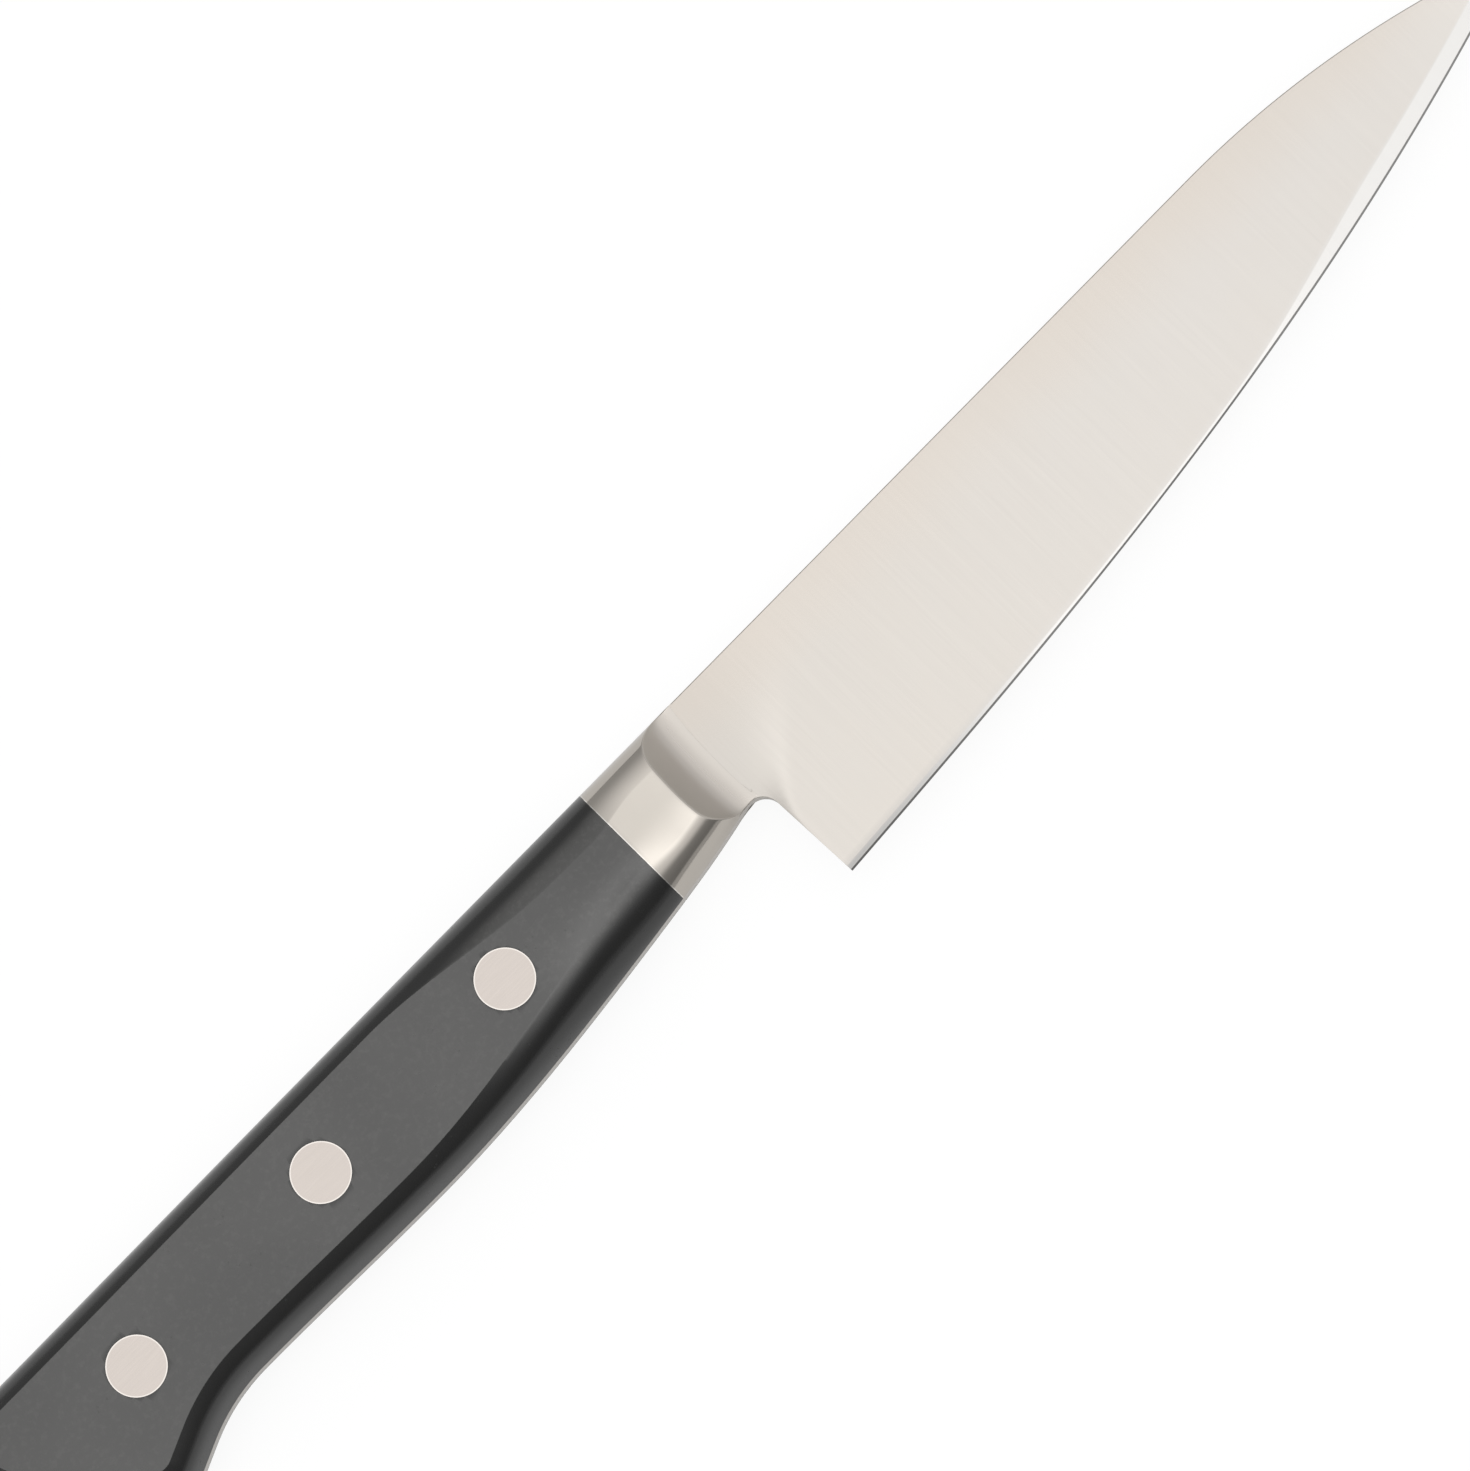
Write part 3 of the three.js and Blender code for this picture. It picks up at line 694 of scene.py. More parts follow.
@dataclass(frozen=True)
class HandleOutline:
    """Side view of the handle and neck: arcs round the butt, curves along back and under side."""

    knife: KnifeFrame
    joint_depth: float = 15.95
    joint_slope: float = 0.138
    belly_setback: float = 40.0
    belly_depth: float = 19.6
    belly_arm_front: float = 16.0
    belly_arm_rear: float = 12.0
    waist_depth: float = 19.15
    waist_radius: float = 23.0
    flare: float = math.radians(24.0)
    beak_setback: float = 16.2
    beak_depth: float = 23.1
    beak_radius: float = 5.2
    butt_radius: float = 25.0
    corner_radius: float = 4.0
    top_drop: float = 0.13
    top_drop_length: float = 55.0
    choil_x: float = 12.2
    choil_depth: float = 13.8
    neck_arm_joint: float = 8.5
    neck_arm_choil: float = 1.0
    pair_setback: float = 18.0
    square_rear: float = 60.0
    square_front: float = 30.0
    rear_steps: int = 110
    front_steps: int = 230
    curve_steps: int = 160

    @property
    def corner_centre(self) -> Array:
        """Centre of the butt's upper corner."""
        return np.array((self.corner_radius - self.knife.handle_length, -self.top_drop - self.corner_radius))

    @property
    def beak_centre(self) -> Array:
        """Centre of the butt's lower corner."""
        return np.array((self.beak_setback - self.knife.handle_length, self.beak_radius - self.beak_depth))

    def butt_centre(self) -> Array:
        """Centre of the butt's arc, which holds both corner circles and touches them from outside.

        The centre lies butt radius less corner radius from each corner's centre, on the blade's side.

        Returns:
            The centre.
        """
        reach_top = self.butt_radius - self.corner_radius
        reach_beak = self.butt_radius - self.beak_radius
        span = self.beak_centre - self.corner_centre
        length = np.linalg.norm(span)
        along = (reach_top ** 2 - reach_beak ** 2 + length ** 2) / (2 * length)
        aside = math.sqrt(reach_top ** 2 - along ** 2)
        forward = span / length
        return self.corner_centre + forward * along + np.array((-forward[1], forward[0])) * aside

    def back(self) -> Array:
        """Handle's back from its rearmost point to above the choil: corner arc, slow rise, straight.

        Returns:
            Points as rows of x and y.
        """
        corner = self.corner_centre
        crest = corner[0]
        rise_end = crest + self.top_drop_length
        arm = self.top_drop_length / 3
        return chain(
            arc(corner, self.corner_radius, math.pi, math.pi / 2, self.curve_steps),
            bezier((crest, -self.top_drop), (crest + arm, -self.top_drop), (rise_end - arm, 0.0),
                   (rise_end, 0.0), self.curve_steps),
            np.array(((rise_end, 0.0), (self.choil_x, 0.0))),
        )

    def under(self) -> Array:
        """Under side from the rearmost point to the choil: butt, beak, waist, belly and neck.

        Returns:
            Points as rows of x and y.
        """
        butt = self.butt_centre()
        beak = self.beak_centre
        corner = self.corner_centre
        top_turn = math.atan2(*(corner - butt)[::-1]) % FULL_TURN
        beak_turn = math.atan2(*(beak - butt)[::-1]) % FULL_TURN
        flare_turn = 1.5 * math.pi + self.flare
        foot = beak + self.beak_radius * np.array((math.cos(flare_turn), math.sin(flare_turn)))
        bend_x = foot[0] + (-self.waist_depth - foot[1]) / math.tan(self.flare)
        waist_x = bend_x + self.waist_radius * math.tan(self.flare / 2)
        belly_x = -self.belly_setback
        arm = (belly_x - waist_x) / 3
        fall_front = -self.joint_depth - self.joint_slope * self.belly_arm_front
        fall_neck = -self.joint_depth + self.joint_slope * self.neck_arm_joint
        steps = self.curve_steps
        return chain(
            arc(corner, self.corner_radius, math.pi, top_turn, steps),
            arc(butt, self.butt_radius, top_turn, beak_turn, steps),
            arc(beak, self.beak_radius, beak_turn, flare_turn, steps),
            arc((waist_x, -self.waist_depth - self.waist_radius), self.waist_radius,
                math.pi / 2 + self.flare, math.pi / 2, steps),
            bezier((waist_x, -self.waist_depth), (waist_x + arm, -self.waist_depth),
                   (belly_x - arm, -self.belly_depth), (belly_x, -self.belly_depth), steps),
            bezier((belly_x, -self.belly_depth), (belly_x + self.belly_arm_rear, -self.belly_depth),
                   (-self.belly_arm_front, fall_front), (0.0, -self.joint_depth), steps),
            bezier((0.0, -self.joint_depth), (self.neck_arm_joint, fall_neck),
                   (self.choil_x - self.neck_arm_choil, -self.choil_depth),
                   (self.choil_x, -self.choil_depth), steps),
        )

    def heights(self, x: Array) -> tuple[Array, Array]:
        """Height of the back and of the under side at places along the handle.

        Args:
            x: Places ahead of the butt's lower corner.

        Returns:
            Two arrays like x.
        """
        back, under = self.back(), self.under()
        return np.interp(x, back[:, 0], back[:, 1]), np.interp(x, under[:, 0], under[:, 1])

    def stations(self) -> tuple[Array, Array]:
        """Pairs of points on back and under side that face each other, from the butt to the joint.

        Round the butt the pairs lie at equal shares of each line's length, and ahead of it at
        equal x.

        Returns:
            Points on the back and on the under side, as rows of x and y.
        """
        pair_x = self.pair_setback - self.knife.handle_length
        front_x = np.linspace(pair_x, 0.0, self.front_steps + 1)[1:]
        front = self.heights(front_x)
        lines = []
        for line, front_y in zip((self.back(), self.under()), front):
            split = int(np.argmax((line[:, 0] >= pair_x) & (np.arange(len(line)) > self.curve_steps)))
            before, after = line[split - 1], line[split]
            end = mix(before, after, (pair_x - before[0]) / (after[0] - before[0]))
            rear = spaced(chain(line[:split], end[None]), self.rear_steps)
            lines.append(chain(rear, np.column_stack((front_x, front_y))))
        return lines[0], lines[1]

    def inward(self, line: Array, turn: float) -> Array:
        """Directions square to a line and into the handle, upright ahead of the waist.

        Args:
            line: Points from the butt forwards.
            turn: 1 where the handle lies on the right of the line, -1 on its left.

        Returns:
            Unit vectors as rows.
        """
        along = np.gradient(line, axis=0)
        square = np.column_stack((along[:, 1], -along[:, 0])) * turn
        square /= np.linalg.norm(square, axis=1, keepdims=True)
        upright = np.array((0.0, -turn))
        share = smooth(-self.square_rear, -self.square_front, line[:, :1])
        blended = mix(square, upright, share)
        return blended / np.linalg.norm(blended, axis=1, keepdims=True)


@dataclass(frozen=True)
class HandleSection:
    """Cross section of half a handle: a leaning wall, a rounded facet and a flat face.

    Towards the butt the facet meets the face at a crisp line; towards the bolster both melt into
    one round, and the face falls off towards the under side.
    """

    knife: KnifeFrame
    bolster_half: float = 4.7
    thin_start: float = -12.0
    thin_end: float = 10.0
    width_rear: float = 2.85
    width_front_back: float = 5.5
    width_front_under: float = 5.0
    width_bolster_back: float = 4.5
    width_bolster_under: float = 3.6
    width_start_back: float = -34.0
    width_start_under: float = -42.0
    width_end_back: float = -8.0
    width_end_under: float = 0.0
    narrow_start: float = -3.0
    narrow_end: float = 5.0
    wall_lean: float = math.radians(12.0)
    facet_lean_rear: float = math.radians(31.0)
    facet_lean_front: float = math.radians(8.0)
    facet_lean_back: float = math.radians(2.0)
    facet_lean_under: float = math.radians(6.0)
    wall_arm_rear_back: float = 0.76
    wall_arm_rear_under: float = 0.93
    wall_arm_back: float = 0.98
    wall_arm_under: float = 0.56
    facet_arm_rear: float = 0.97
    facet_arm_back: float = 0.44
    facet_arm_under: float = 0.62
    fall_front: float = 0.26
    fall_bolster: float = 0.14
    fall_start: float = -20.0
    fall_end: float = -4.0
    flat_share: float = 0.55
    fall_power: float = 2.4
    crisp_end: float = -36.0
    soft_start: float = -8.0
    round_steps: int = 24
    face_steps: int = 14
    face_support: float = 0.004

    def height(self, x: Array) -> Array:
        """Half thickness of the handle, which thins towards the bolster."""
        return mix(self.knife.half_handle, self.bolster_half, smooth(self.thin_start, self.thin_end, x))

    def width(self, x: Array, across: Array | float) -> Array:
        """Distance from outline to flat face, which grows from butt to joint and narrows on the bolster.

        Args:
            x: Places along the handle.
            across: 0 at the back, 1 at the under side.

        Returns:
            Distances of a shape that goes with both.
        """
        start = mix(self.width_start_back, self.width_start_under, across)
        end = mix(self.width_end_back, self.width_end_under, across)
        front = mix(self.width_front_back, self.width_front_under, across)
        scale = mix(self.width_rear, front, smooth(start, end, x))
        return mix(scale, mix(self.width_bolster_back, self.width_bolster_under, across), self.metal(x))

    def metal(self, x: Array) -> Array:
        """Share of the way from the scale's section to the bolster's."""
        return smooth(self.narrow_start, self.narrow_end, x)

    def facet(self, x: Array, share: Array, across: Array | float) -> tuple[Array, Array]:
        """Curve from outline to flat face.

        It is a cubic curve that leaves the tang at the wall's lean and reaches the face at the
        facet's. Its arms are shares of the way to the point where those two directions cross.

        Args:
            x: Places along the handle.
            share: Shares of the way along the curve, of a shape that goes with x.
            across: 0 at the back, 1 at the under side, where the face has fallen off.

        Returns:
            Inset from the outline, and height above the middle of the steel.
        """
        soft = smooth(self.crisp_end, self.soft_start, x)
        lean_back = mix(self.facet_lean_front, self.facet_lean_back, self.metal(x))
        lean_front = mix(lean_back, self.facet_lean_under, across)
        facet = np.tan(mix(self.facet_lean_rear, lean_front, soft))
        wall = math.tan(self.wall_lean)
        low = self.knife.half_steel
        high = self.height(x) - across * self.fall_at(x)
        width = self.width(x, across)
        cross_in = wall * (high - low - width * facet) / (1.0 - wall * facet)
        cross_up = high - (width - cross_in) * facet
        wall_arm_back = mix(self.wall_arm_rear_back, self.wall_arm_back, soft)
        wall_arm_under = mix(self.wall_arm_rear_under, self.wall_arm_under, soft)
        wall_arm = mix(wall_arm_back, wall_arm_under, across)
        facet_arm_front = mix(self.facet_arm_back, self.facet_arm_under, across)
        facet_arm = mix(self.facet_arm_rear, facet_arm_front, soft)
        rest = 1.0 - share
        begin, leaving, arriving, end = rest ** 3, 3 * rest ** 2 * share, 3 * rest * share ** 2, share ** 3
        inset = leaving * wall_arm * cross_in + arriving * mix(width, cross_in, facet_arm) + end * width
        rise = begin * low + leaving * mix(low, cross_up, wall_arm)
        return inset, rise + arriving * mix(high, cross_up, facet_arm) + end * high

    def fall_at(self, x: Array) -> Array:
        """How far the face falls off at its lower side, which fades out behind the joint."""
        front = self.fall_front * smooth(self.fall_start, self.fall_end, x)
        return mix(front, self.fall_bolster, self.metal(x))

    def swell(self, x: Array, share: Array) -> Array:
        """Rise over a straight line across the face: it is level, then falls off by a power."""
        past = np.clip((share - self.flat_share) / (1.0 - self.flat_share), 0.0, 1.0)
        return self.fall_at(x) * (share - past ** self.fall_power)

    def shares(self) -> Array:
        """Shares along the curve from outline to face."""
        return np.linspace(0.0, 1.0, self.round_steps + 1)

    def face_shares(self) -> Array:
        """Shares across the flat face, with a row close to each side to hold its shading."""
        inner = np.linspace(0.0, 1.0, self.face_steps + 1)[1:-1]
        return np.concatenate(([self.face_support], inner, [1.0 - self.face_support]))

    def sheet(self, back: Array, under: Array, back_in: Array, under_in: Array) -> Array:
        """Outer surface over pairs of outline points: upper facet, face, lower facet.

        Args:
            back: Points on the back.
            under: Points on the under side.
            back_in: Inward directions at the back.
            under_in: Inward directions at the under side.

        Returns:
            Grid of stations by rows by three, for the right-hand side.
        """
        inset, height = self.facet(back[:, :1], self.shares(), 0.0)
        upper = np.dstack((back[:, None] + back_in[:, None] * inset[..., None], height))
        inset, height = self.facet(under[:, :1], self.shares(), 1.0)
        lower = np.dstack((under[:, None] + under_in[:, None] * inset[..., None], height))[:, ::-1]
        shares = self.face_shares()
        face = mix(upper[:, -1:], lower[:, :1], shares[None, :, None])
        face[..., 2] += self.swell(face[..., 0], shares)
        return np.concatenate((upper, face, lower), axis=1)


@dataclass
class Scale:
    """One handle scale, with counterbored holes for the rivets."""

    knife: KnifeFrame
    outline: HandleOutline
    section: HandleSection
    side: Side
    finish: bpy.types.Material
    front_chamfer: float = 0.04
    # Painted sheen on the face as it turns upward, and a painted highlight on its lower front.
    sheen_none: float = 0.90
    sheen_full: float = 0.985
    sheen_base: float = 0.6
    highlight_start: float = -22.0
    highlight_end: float = -3.0
    highlight_high: float = -6.0
    highlight_low: float = -12.5
    sharp_angle: float = 24.0

    def pale_share(self, sheet: Array) -> Array:
        """How much pale colour lies on each point: painted sheen on the face, none on the facets, which stay
        dark as painted shade.

        The normal is the cross product of the grid's two directions, and the sheen is a smooth step of its
        upward part. It is painted paler towards the bolster and low down: a painted highlight.

        Args:
            sheet: Outer surface.

        Returns:
            A number for each point.
        """
        normal = np.cross(np.gradient(sheet, axis=0), np.gradient(sheet, axis=1))
        upward = np.abs(normal[..., 2]) / np.maximum(np.linalg.norm(normal, axis=-1), SAME_PLACE)
        front = smooth(self.highlight_start, self.highlight_end, sheet[..., 0])
        low = smooth(-self.highlight_high, -self.highlight_low, -sheet[..., 1])
        return smooth(self.sheen_none, self.sheen_full, upward) * mix(self.sheen_base, 1.0, front * low)

    def outer(self) -> Array:
        """Outer surface, with its last station drawn in to chamfer the front edge.

        Returns:
            Grid of stations by rows by three, for the right-hand side.
        """
        back, under = self.outline.stations()
        back_in, under_in = self.outline.inward(back, 1.0), self.outline.inward(under, -1.0)
        sheet = self.section.sheet(back, under, back_in, under_in)
        last = sheet[-1].copy()
        rim = last.copy()
        rim[:, 0] -= self.front_chamfer
        middle = np.array((0.0, (back[-1, 1] + under[-1, 1]) / 2, self.knife.half_steel))
        reach = np.linalg.norm((last - middle)[:, 1:], axis=1, keepdims=True)
        last = mix(last, middle, self.front_chamfer / reach)
        last[[0, -1], 2] = self.knife.half_steel
        return np.concatenate((sheet[:-1], rim[None], last[None]))

    def build(self, holes: Sequence[bpy.types.Object]) -> bpy.types.Object:
        """Closes the outer surface with an inner face and a front face, and cuts the holes.

        Args:
            holes: Solids to cut away, which are used up.

        Returns:
            The scale.
        """
        outer = self.outer()
        flat = outer.copy()
        flat[..., 2] = self.knife.half_steel
        shell = Surface(self.knife)
        mirror = np.array((1.0, 1.0, self.side.value))
        # The pale colour is painted sheen and highlight on the face; the facets keep the black.
        shell.add(outer * mirror, shade=self.pale_share(outer))
        shell.add(flat * mirror)
        shell.add(np.stack((outer[-1], flat[-1])) * mirror)
        piece = shell.piece(f"scale_{self.side.name.lower()}_dressed", self.sharp_angle)
        cut(piece, holes, self.sharp_angle)
        return piece

    def dress(self, holes: Sequence[bpy.types.Object]) -> None:
        """Builds the scale and gives it its finish."""
        attach(self.build(holes), f"scale_{self.side.name.lower()}", self.finish)


@dataclass
class Bolster:
    """One bolster half: the handle's section, cut in front by a ramp that melts into the blade."""

    knife: KnifeFrame
    outline: HandleOutline
    section: HandleSection
    side: Side
    finish: bpy.types.Material
    ramp_start: float = 7.4
    ramp_slope: float = 0.86
    ramp_soft: float = 0.22
    tail_slope: float = 0.30
    tail_soft: float = 0.45
    tail_turn: float = 11.9
    ramp_reach: float = 8.0
    ramp_samples: int = 4000
    ramp_plan_radius: float = 60.0
    ramp_plan_depth: float = 8.7
    arris_width: float = 0.16
    arris_room: float = 0.45
    arris_rounds: int = 12
    back_chamfer: float = 0.10
    back_drop: float = 0.02
    seat_depth: float = 0.012
    foot_rise: float = 0.006
    support: tuple[float, float, float] = (0.01, 0.0, 0.0)
    body_steps: int = 30
    arris_steps: int = 6
    ramp_steps: int = 64
    sharp_angle: float = 28.0

    @property
    def seat(self) -> float:
        """Height of the inner face, which the weld sinks slightly into the steel."""
        return self.knife.half_steel - self.seat_depth

    @property
    def ramp_turn(self) -> float:
        """Knife x in the middle of the steep slope's bend, so that the ramp starts where it should.

        It is the place at which the slope's height, solved for its turn, meets the face.

        Returns:
            The place.
        """
        start = np.array(self.ramp_start)
        height = float(self.section.height(start)) - self.seat - float(self.tail_z(start))
        bend = self.ramp_slope * self.ramp_soft
        return self.ramp_start + self.ramp_soft * math.log(math.expm1(height / bend))

    @staticmethod
    def slope_z(x: Array, slope: float, soft: float, turn: float) -> Array:
        """Height of a straight slope that fades to level, the logarithm of 1 plus e to the x."""
        return slope * soft * np.logaddexp(0.0, (turn - x) / soft)

    def tail_z(self, x: Array) -> Array:
        """Height of the flat slope that runs out over the blade."""
        return self.slope_z(x, self.tail_slope, self.tail_soft, self.tail_turn)

    def body(self, x: Array) -> Array:
        """Handle's section read at a place of its own for each row.

        Args:
            x: Places along the knife, stations by rows.

        Returns:
            Grid of stations by rows by three.
        """
        steps = self.section.round_steps
        face = self.section.face_shares()
        shares = np.concatenate((self.section.shares(), np.ones(len(face)), self.section.shares()[::-1]))
        across = np.concatenate((np.zeros(steps + 1), face, np.ones(steps + 1)))
        inset, height = self.section.facet(x, shares, across)
        back, under = self.outline.heights(x)
        height = height + self.section.swell(x, across)
        return np.stack((x, mix(back - inset, under + inset, across), height), axis=-1)

    def ramp_z(self, x: Array) -> Array:
        """Height of the ramp: a steep slope and a flat, longer one, added."""
        steep = self.slope_z(x, self.ramp_slope, self.ramp_soft, self.ramp_turn)
        return self.seat + steep + self.tail_z(x)

    def ramp_x(self, z: Array) -> Array:
        """Where the ramp stands at a height, read off a table of its heights."""
        x = self.ramp_start + np.linspace(self.ramp_reach, -self.ramp_reach, self.ramp_samples)
        return np.interp(z, self.ramp_z(x), x)

    def sweep(self, y: Array) -> Array:
        """How far the ramp swings forward towards spine and edge: a parabola of the plan's radius."""
        return (y + self.ramp_plan_depth) ** 2 / (2.0 * self.ramp_plan_radius)

    def arris(self, rows: int) -> Array:
        """Points where the section's rows meet the ramp, by repeated substitution.

        Args:
            rows: Number of rows in the section.

        Returns:
            Rows of x, y and z.
        """
        place = np.full(rows, self.ramp_start)
        for _ in range(self.arris_rounds):
            point = self.body(place[None])[0]
            place = self.ramp_x(point[:, 2]) + self.sweep(point[:, 1])
        return self.body(place[None])[0]

    def outer(self) -> tuple[Array, Array]:
        """Face and rounds up to the arris, a small round there, then the ramp down to the blade.

        Rows keep their share of the knife's depth on the ramp.

        Returns:
            Grid of stations by rows by three for the right-hand side, and a mark at each point,
            from the body's over the one at the top of the ramp to the one at its foot.
        """
        rows = 2 * (self.section.round_steps + 1) + len(self.section.face_shares())
        arris = self.arris(rows)
        swing = self.sweep(arris[:, 1])
        foot = self.ramp_x(np.full(rows, self.seat + self.foot_rise)) + swing
        room = np.minimum(self.arris_width, self.arris_room * (foot - arris[:, 0]))
        body = self.body(np.linspace(0.0, 1.0, self.body_steps + 1)[:, None] * (arris[:, 0] - room))
        down = np.linspace(0.0, 1.0, self.ramp_steps + 1)[:, None]
        ramp_x = mix(arris[:, 0] + room, foot, down)
        back, under = self.outline.heights(ramp_x)
        arris_back, arris_under = self.outline.heights(arris[:, 0])
        depth = (arris[:, 1] - arris_back) / (arris_under - arris_back)
        ramp_z = self.ramp_z(ramp_x - swing)
        ramp_z[-1] = self.seat
        ramp = np.stack((ramp_x, mix(back, under, depth), ramp_z), axis=-1)
        share = np.linspace(0.0, 1.0, self.arris_steps + 1)[1:-1, None, None]
        rest = 1.0 - share
        turned = rest ** 2 * body[-1] + 2 * rest * share * arris + share ** 2 * ramp[0]
        marks = np.full(len(body), BODY_MARK), mix(BODY_MARK, RAMP_MARK, share[:, 0, 0])
        belt = np.concatenate((*marks, mix(RAMP_MARK, FOOT_MARK, down[:, 0])))
        return np.concatenate((body, turned, ramp)), np.repeat(belt[:, None], rows, axis=1)

    def build(self) -> bpy.types.Object:
        """Breaks the rim at the joint, and closes the surface with the faces on steel and scale.

        Returns:
            The bolster half.
        """
        outer, belt = self.outer()
        back, under = self.outline.heights(np.zeros(1))
        middle = np.array((0.0, (back[0] + under[0]) / 2, self.seat))
        rim = outer[0].copy()
        rim[:, 0] = self.back_chamfer
        reach = np.linalg.norm((outer[0] - middle)[:, 1:], axis=1, keepdims=True)
        first = mix(outer[0], middle, self.back_drop / reach)
        outer = np.concatenate((first[None], rim[None], rim[None] + self.support, outer[1:]))
        outer[:, [0, -1], 2] = self.seat
        # The rim rows get the mark for the painted highlight.
        edge = np.full_like(belt[:2], RIM_HIGHLIGHT_MARK)
        belt = np.concatenate((edge, belt))
        flat = outer.copy()
        flat[..., 2] = self.seat
        mirror = np.array((1.0, 1.0, self.side.value))
        shell = Surface(self.knife)
        shell.add(outer * mirror, shade=belt)
        shell.add(flat * mirror)
        shell.add(np.stack((outer[0], flat[0])) * mirror)
        return shell.piece(f"bolster_{self.side.name.lower()}_dressed", self.sharp_angle)

    def dress(self) -> None:
        """Builds the bolster half and gives it its finish."""
        attach(self.build(), f"bolster_{self.side.name.lower()}", self.finish)


@dataclass
class Blade:
    """Blade, neck and tang in one: a full-tang blank with ground faces and a bevelled edge."""

    knife: KnifeFrame
    outline: HandleOutline
    finish: bpy.types.Material
    length: float = 120.0
    heel_depth: float = 26.8
    edge_rise: float = 8.0
    edge_belly: float = 10.9
    edge_belly_power: float = 2.8
    spine_drop_length: float = 41.8
    tip_half: float = 0.3
    taper_power: float = 1.5
    swell_power: float = 1.05
    shoulder_half_heel: float = 0.16
    shoulder_half_tip: float = 0.22
    bevel_heel: float = 0.7
    bevel_middle: float = 0.4
    bevel_belly: float = 1.9
    bevel_room: float = 0.4
    bevel_middle_at: float = 0.4
    belly_from: float = 0.55
    belly_full: float = 0.78
    hone_room: float = 0.5
    hone_share: float = 0.85
    hone_height: float = 0.22
    hone_half: float = 0.13
    edge_half: float = 0.01
    face_start: float = 13.0
    face_run_upper: float = 14.0
    face_run_lower: float = 1.7
    face_run_from: float = 0.1
    face_run_to: float = 0.75
    choil_radius: float = 2.2
    corner_break: float = 0.12
    corner_room: float = 0.2
    corner_share: float = 0.3
    corner_rows: tuple[float, ...] = (0.0, 0.3, 1.0)
    crease_room: float = 0.5
    crease_lift: float = 0.45
    hone_lift: float = 0.2
    polish_above: float = 0.25
    polish_below: float = 0.1
    face_rows: int = 30
    face_support: tuple[float, float] = (0.002, 0.995)
    bevel_rows: tuple[float, ...] = (0.04, 0.35, 0.7, 0.96, 1.0)
    hone_rows: tuple[float, ...] = (0.08, 0.5, 0.92, 1.0)
    edge_steps: int = 420
    edge_crowding: float = 1.15
    choil_steps: int = 24
    heel_steps: int = 28
    least: float = 1e-6
    sharp_angle: float = 20.0

    @property
    def heel(self) -> float:
        """Knife x of the heel corner."""
        return self.knife.tip - self.length

    @property
    def tip_depth(self) -> float:
        """Depth of the tip below the spine."""
        return self.heel_depth - self.edge_rise - self.edge_belly

    def share(self, x: Array) -> Array:
        """Share of the way from heel to tip."""
        return np.clip((x - self.heel) / self.length, 0.0, 1.0)

    def belly_share(self, along: Array) -> Array:
        """Share of the way from the flat edge to the full belly."""
        return smooth(self.belly_from, self.belly_full, along)

    def edge(self, x: Array) -> Array:
        """Cutting edge: an even rise from the heel plus a power of the share that lifts the belly."""
        along = self.share(x)
        return self.edge_rise * along + self.edge_belly * along ** self.edge_belly_power - self.heel_depth

    def top(self, x: Array) -> Array:
        """Spine: level, then a parabola down to the tip; along the tang it is the handle's back.

        Args:
            x: Places along the knife.

        Returns:
            Heights.
        """
        past = np.maximum(0.0, x - (self.knife.tip - self.spine_drop_length)) / self.spine_drop_length
        back = self.outline.back()
        return np.interp(x, back[:, 0], back[:, 1]) - self.tip_depth * past * past

    def bevel(self, x: Array) -> Array:
        """Height of the bevel: eases from heel to middle, then widens to the belly.

        Args:
            x: Places along the blade.

        Returns:
            Heights, no more than a share of the blade's depth.
        """
        along = self.share(x)
        rear = mix(self.bevel_heel, self.bevel_middle, smooth(0.0, self.bevel_middle_at, along))
        width = mix(rear, self.bevel_belly, self.belly_share(along))
        return np.minimum(width, self.bevel_room * (self.top(x) - self.edge(x)))

    def half(self, x: Array, y: Array) -> Array:
        """Half thickness at a point of the face.

        From spine to bevel the steel thins by a power of the share of the way down; the bevel
        thins straight to a narrow hone, and the hone to the edge. Behind the heel the blank keeps
        the tang's thickness, with a smooth run between.

        Args:
            x: Places along the blade.
            y: Heights on the face.

        Returns:
            Half thickness at each point.
        """
        along = self.share(x)
        shoulder_y = self.edge(x) + self.bevel(x)
        top = self.top(x)
        down = np.clip((top - y) / np.maximum(top - shoulder_y, self.least), 0.0, 1.0)
        spine = mix(self.knife.half_steel, self.tip_half, along ** self.taper_power)
        shoulder = mix(self.shoulder_half_heel, self.shoulder_half_tip, self.belly_share(along))
        shoulder = np.minimum(shoulder, spine)
        ground = mix(spine, shoulder, down ** self.swell_power)
        left = np.clip(y - self.edge(x), 0.0, None)
        hone = np.minimum(self.hone_height, self.hone_room * self.bevel(x))
        hone_half = np.minimum(self.hone_half, self.hone_share * shoulder)
        bevel_share = np.clip((left - hone) / np.maximum(self.bevel(x) - hone, self.least), 0.0, 1.0)
        honed = mix(self.edge_half, hone_half, left / np.maximum(hone, self.least))
        bevel = np.where(left < hone, honed, mix(hone_half, shoulder, bevel_share))
        ground = np.where(y < shoulder_y, bevel, ground)
        run_share = smooth(self.face_run_from, self.face_run_to, down)
        run = mix(self.face_run_upper, self.face_run_lower, run_share)
        return mix(self.knife.half_steel, ground, smooth(0.0, 1.0, (x - self.face_start) / run))

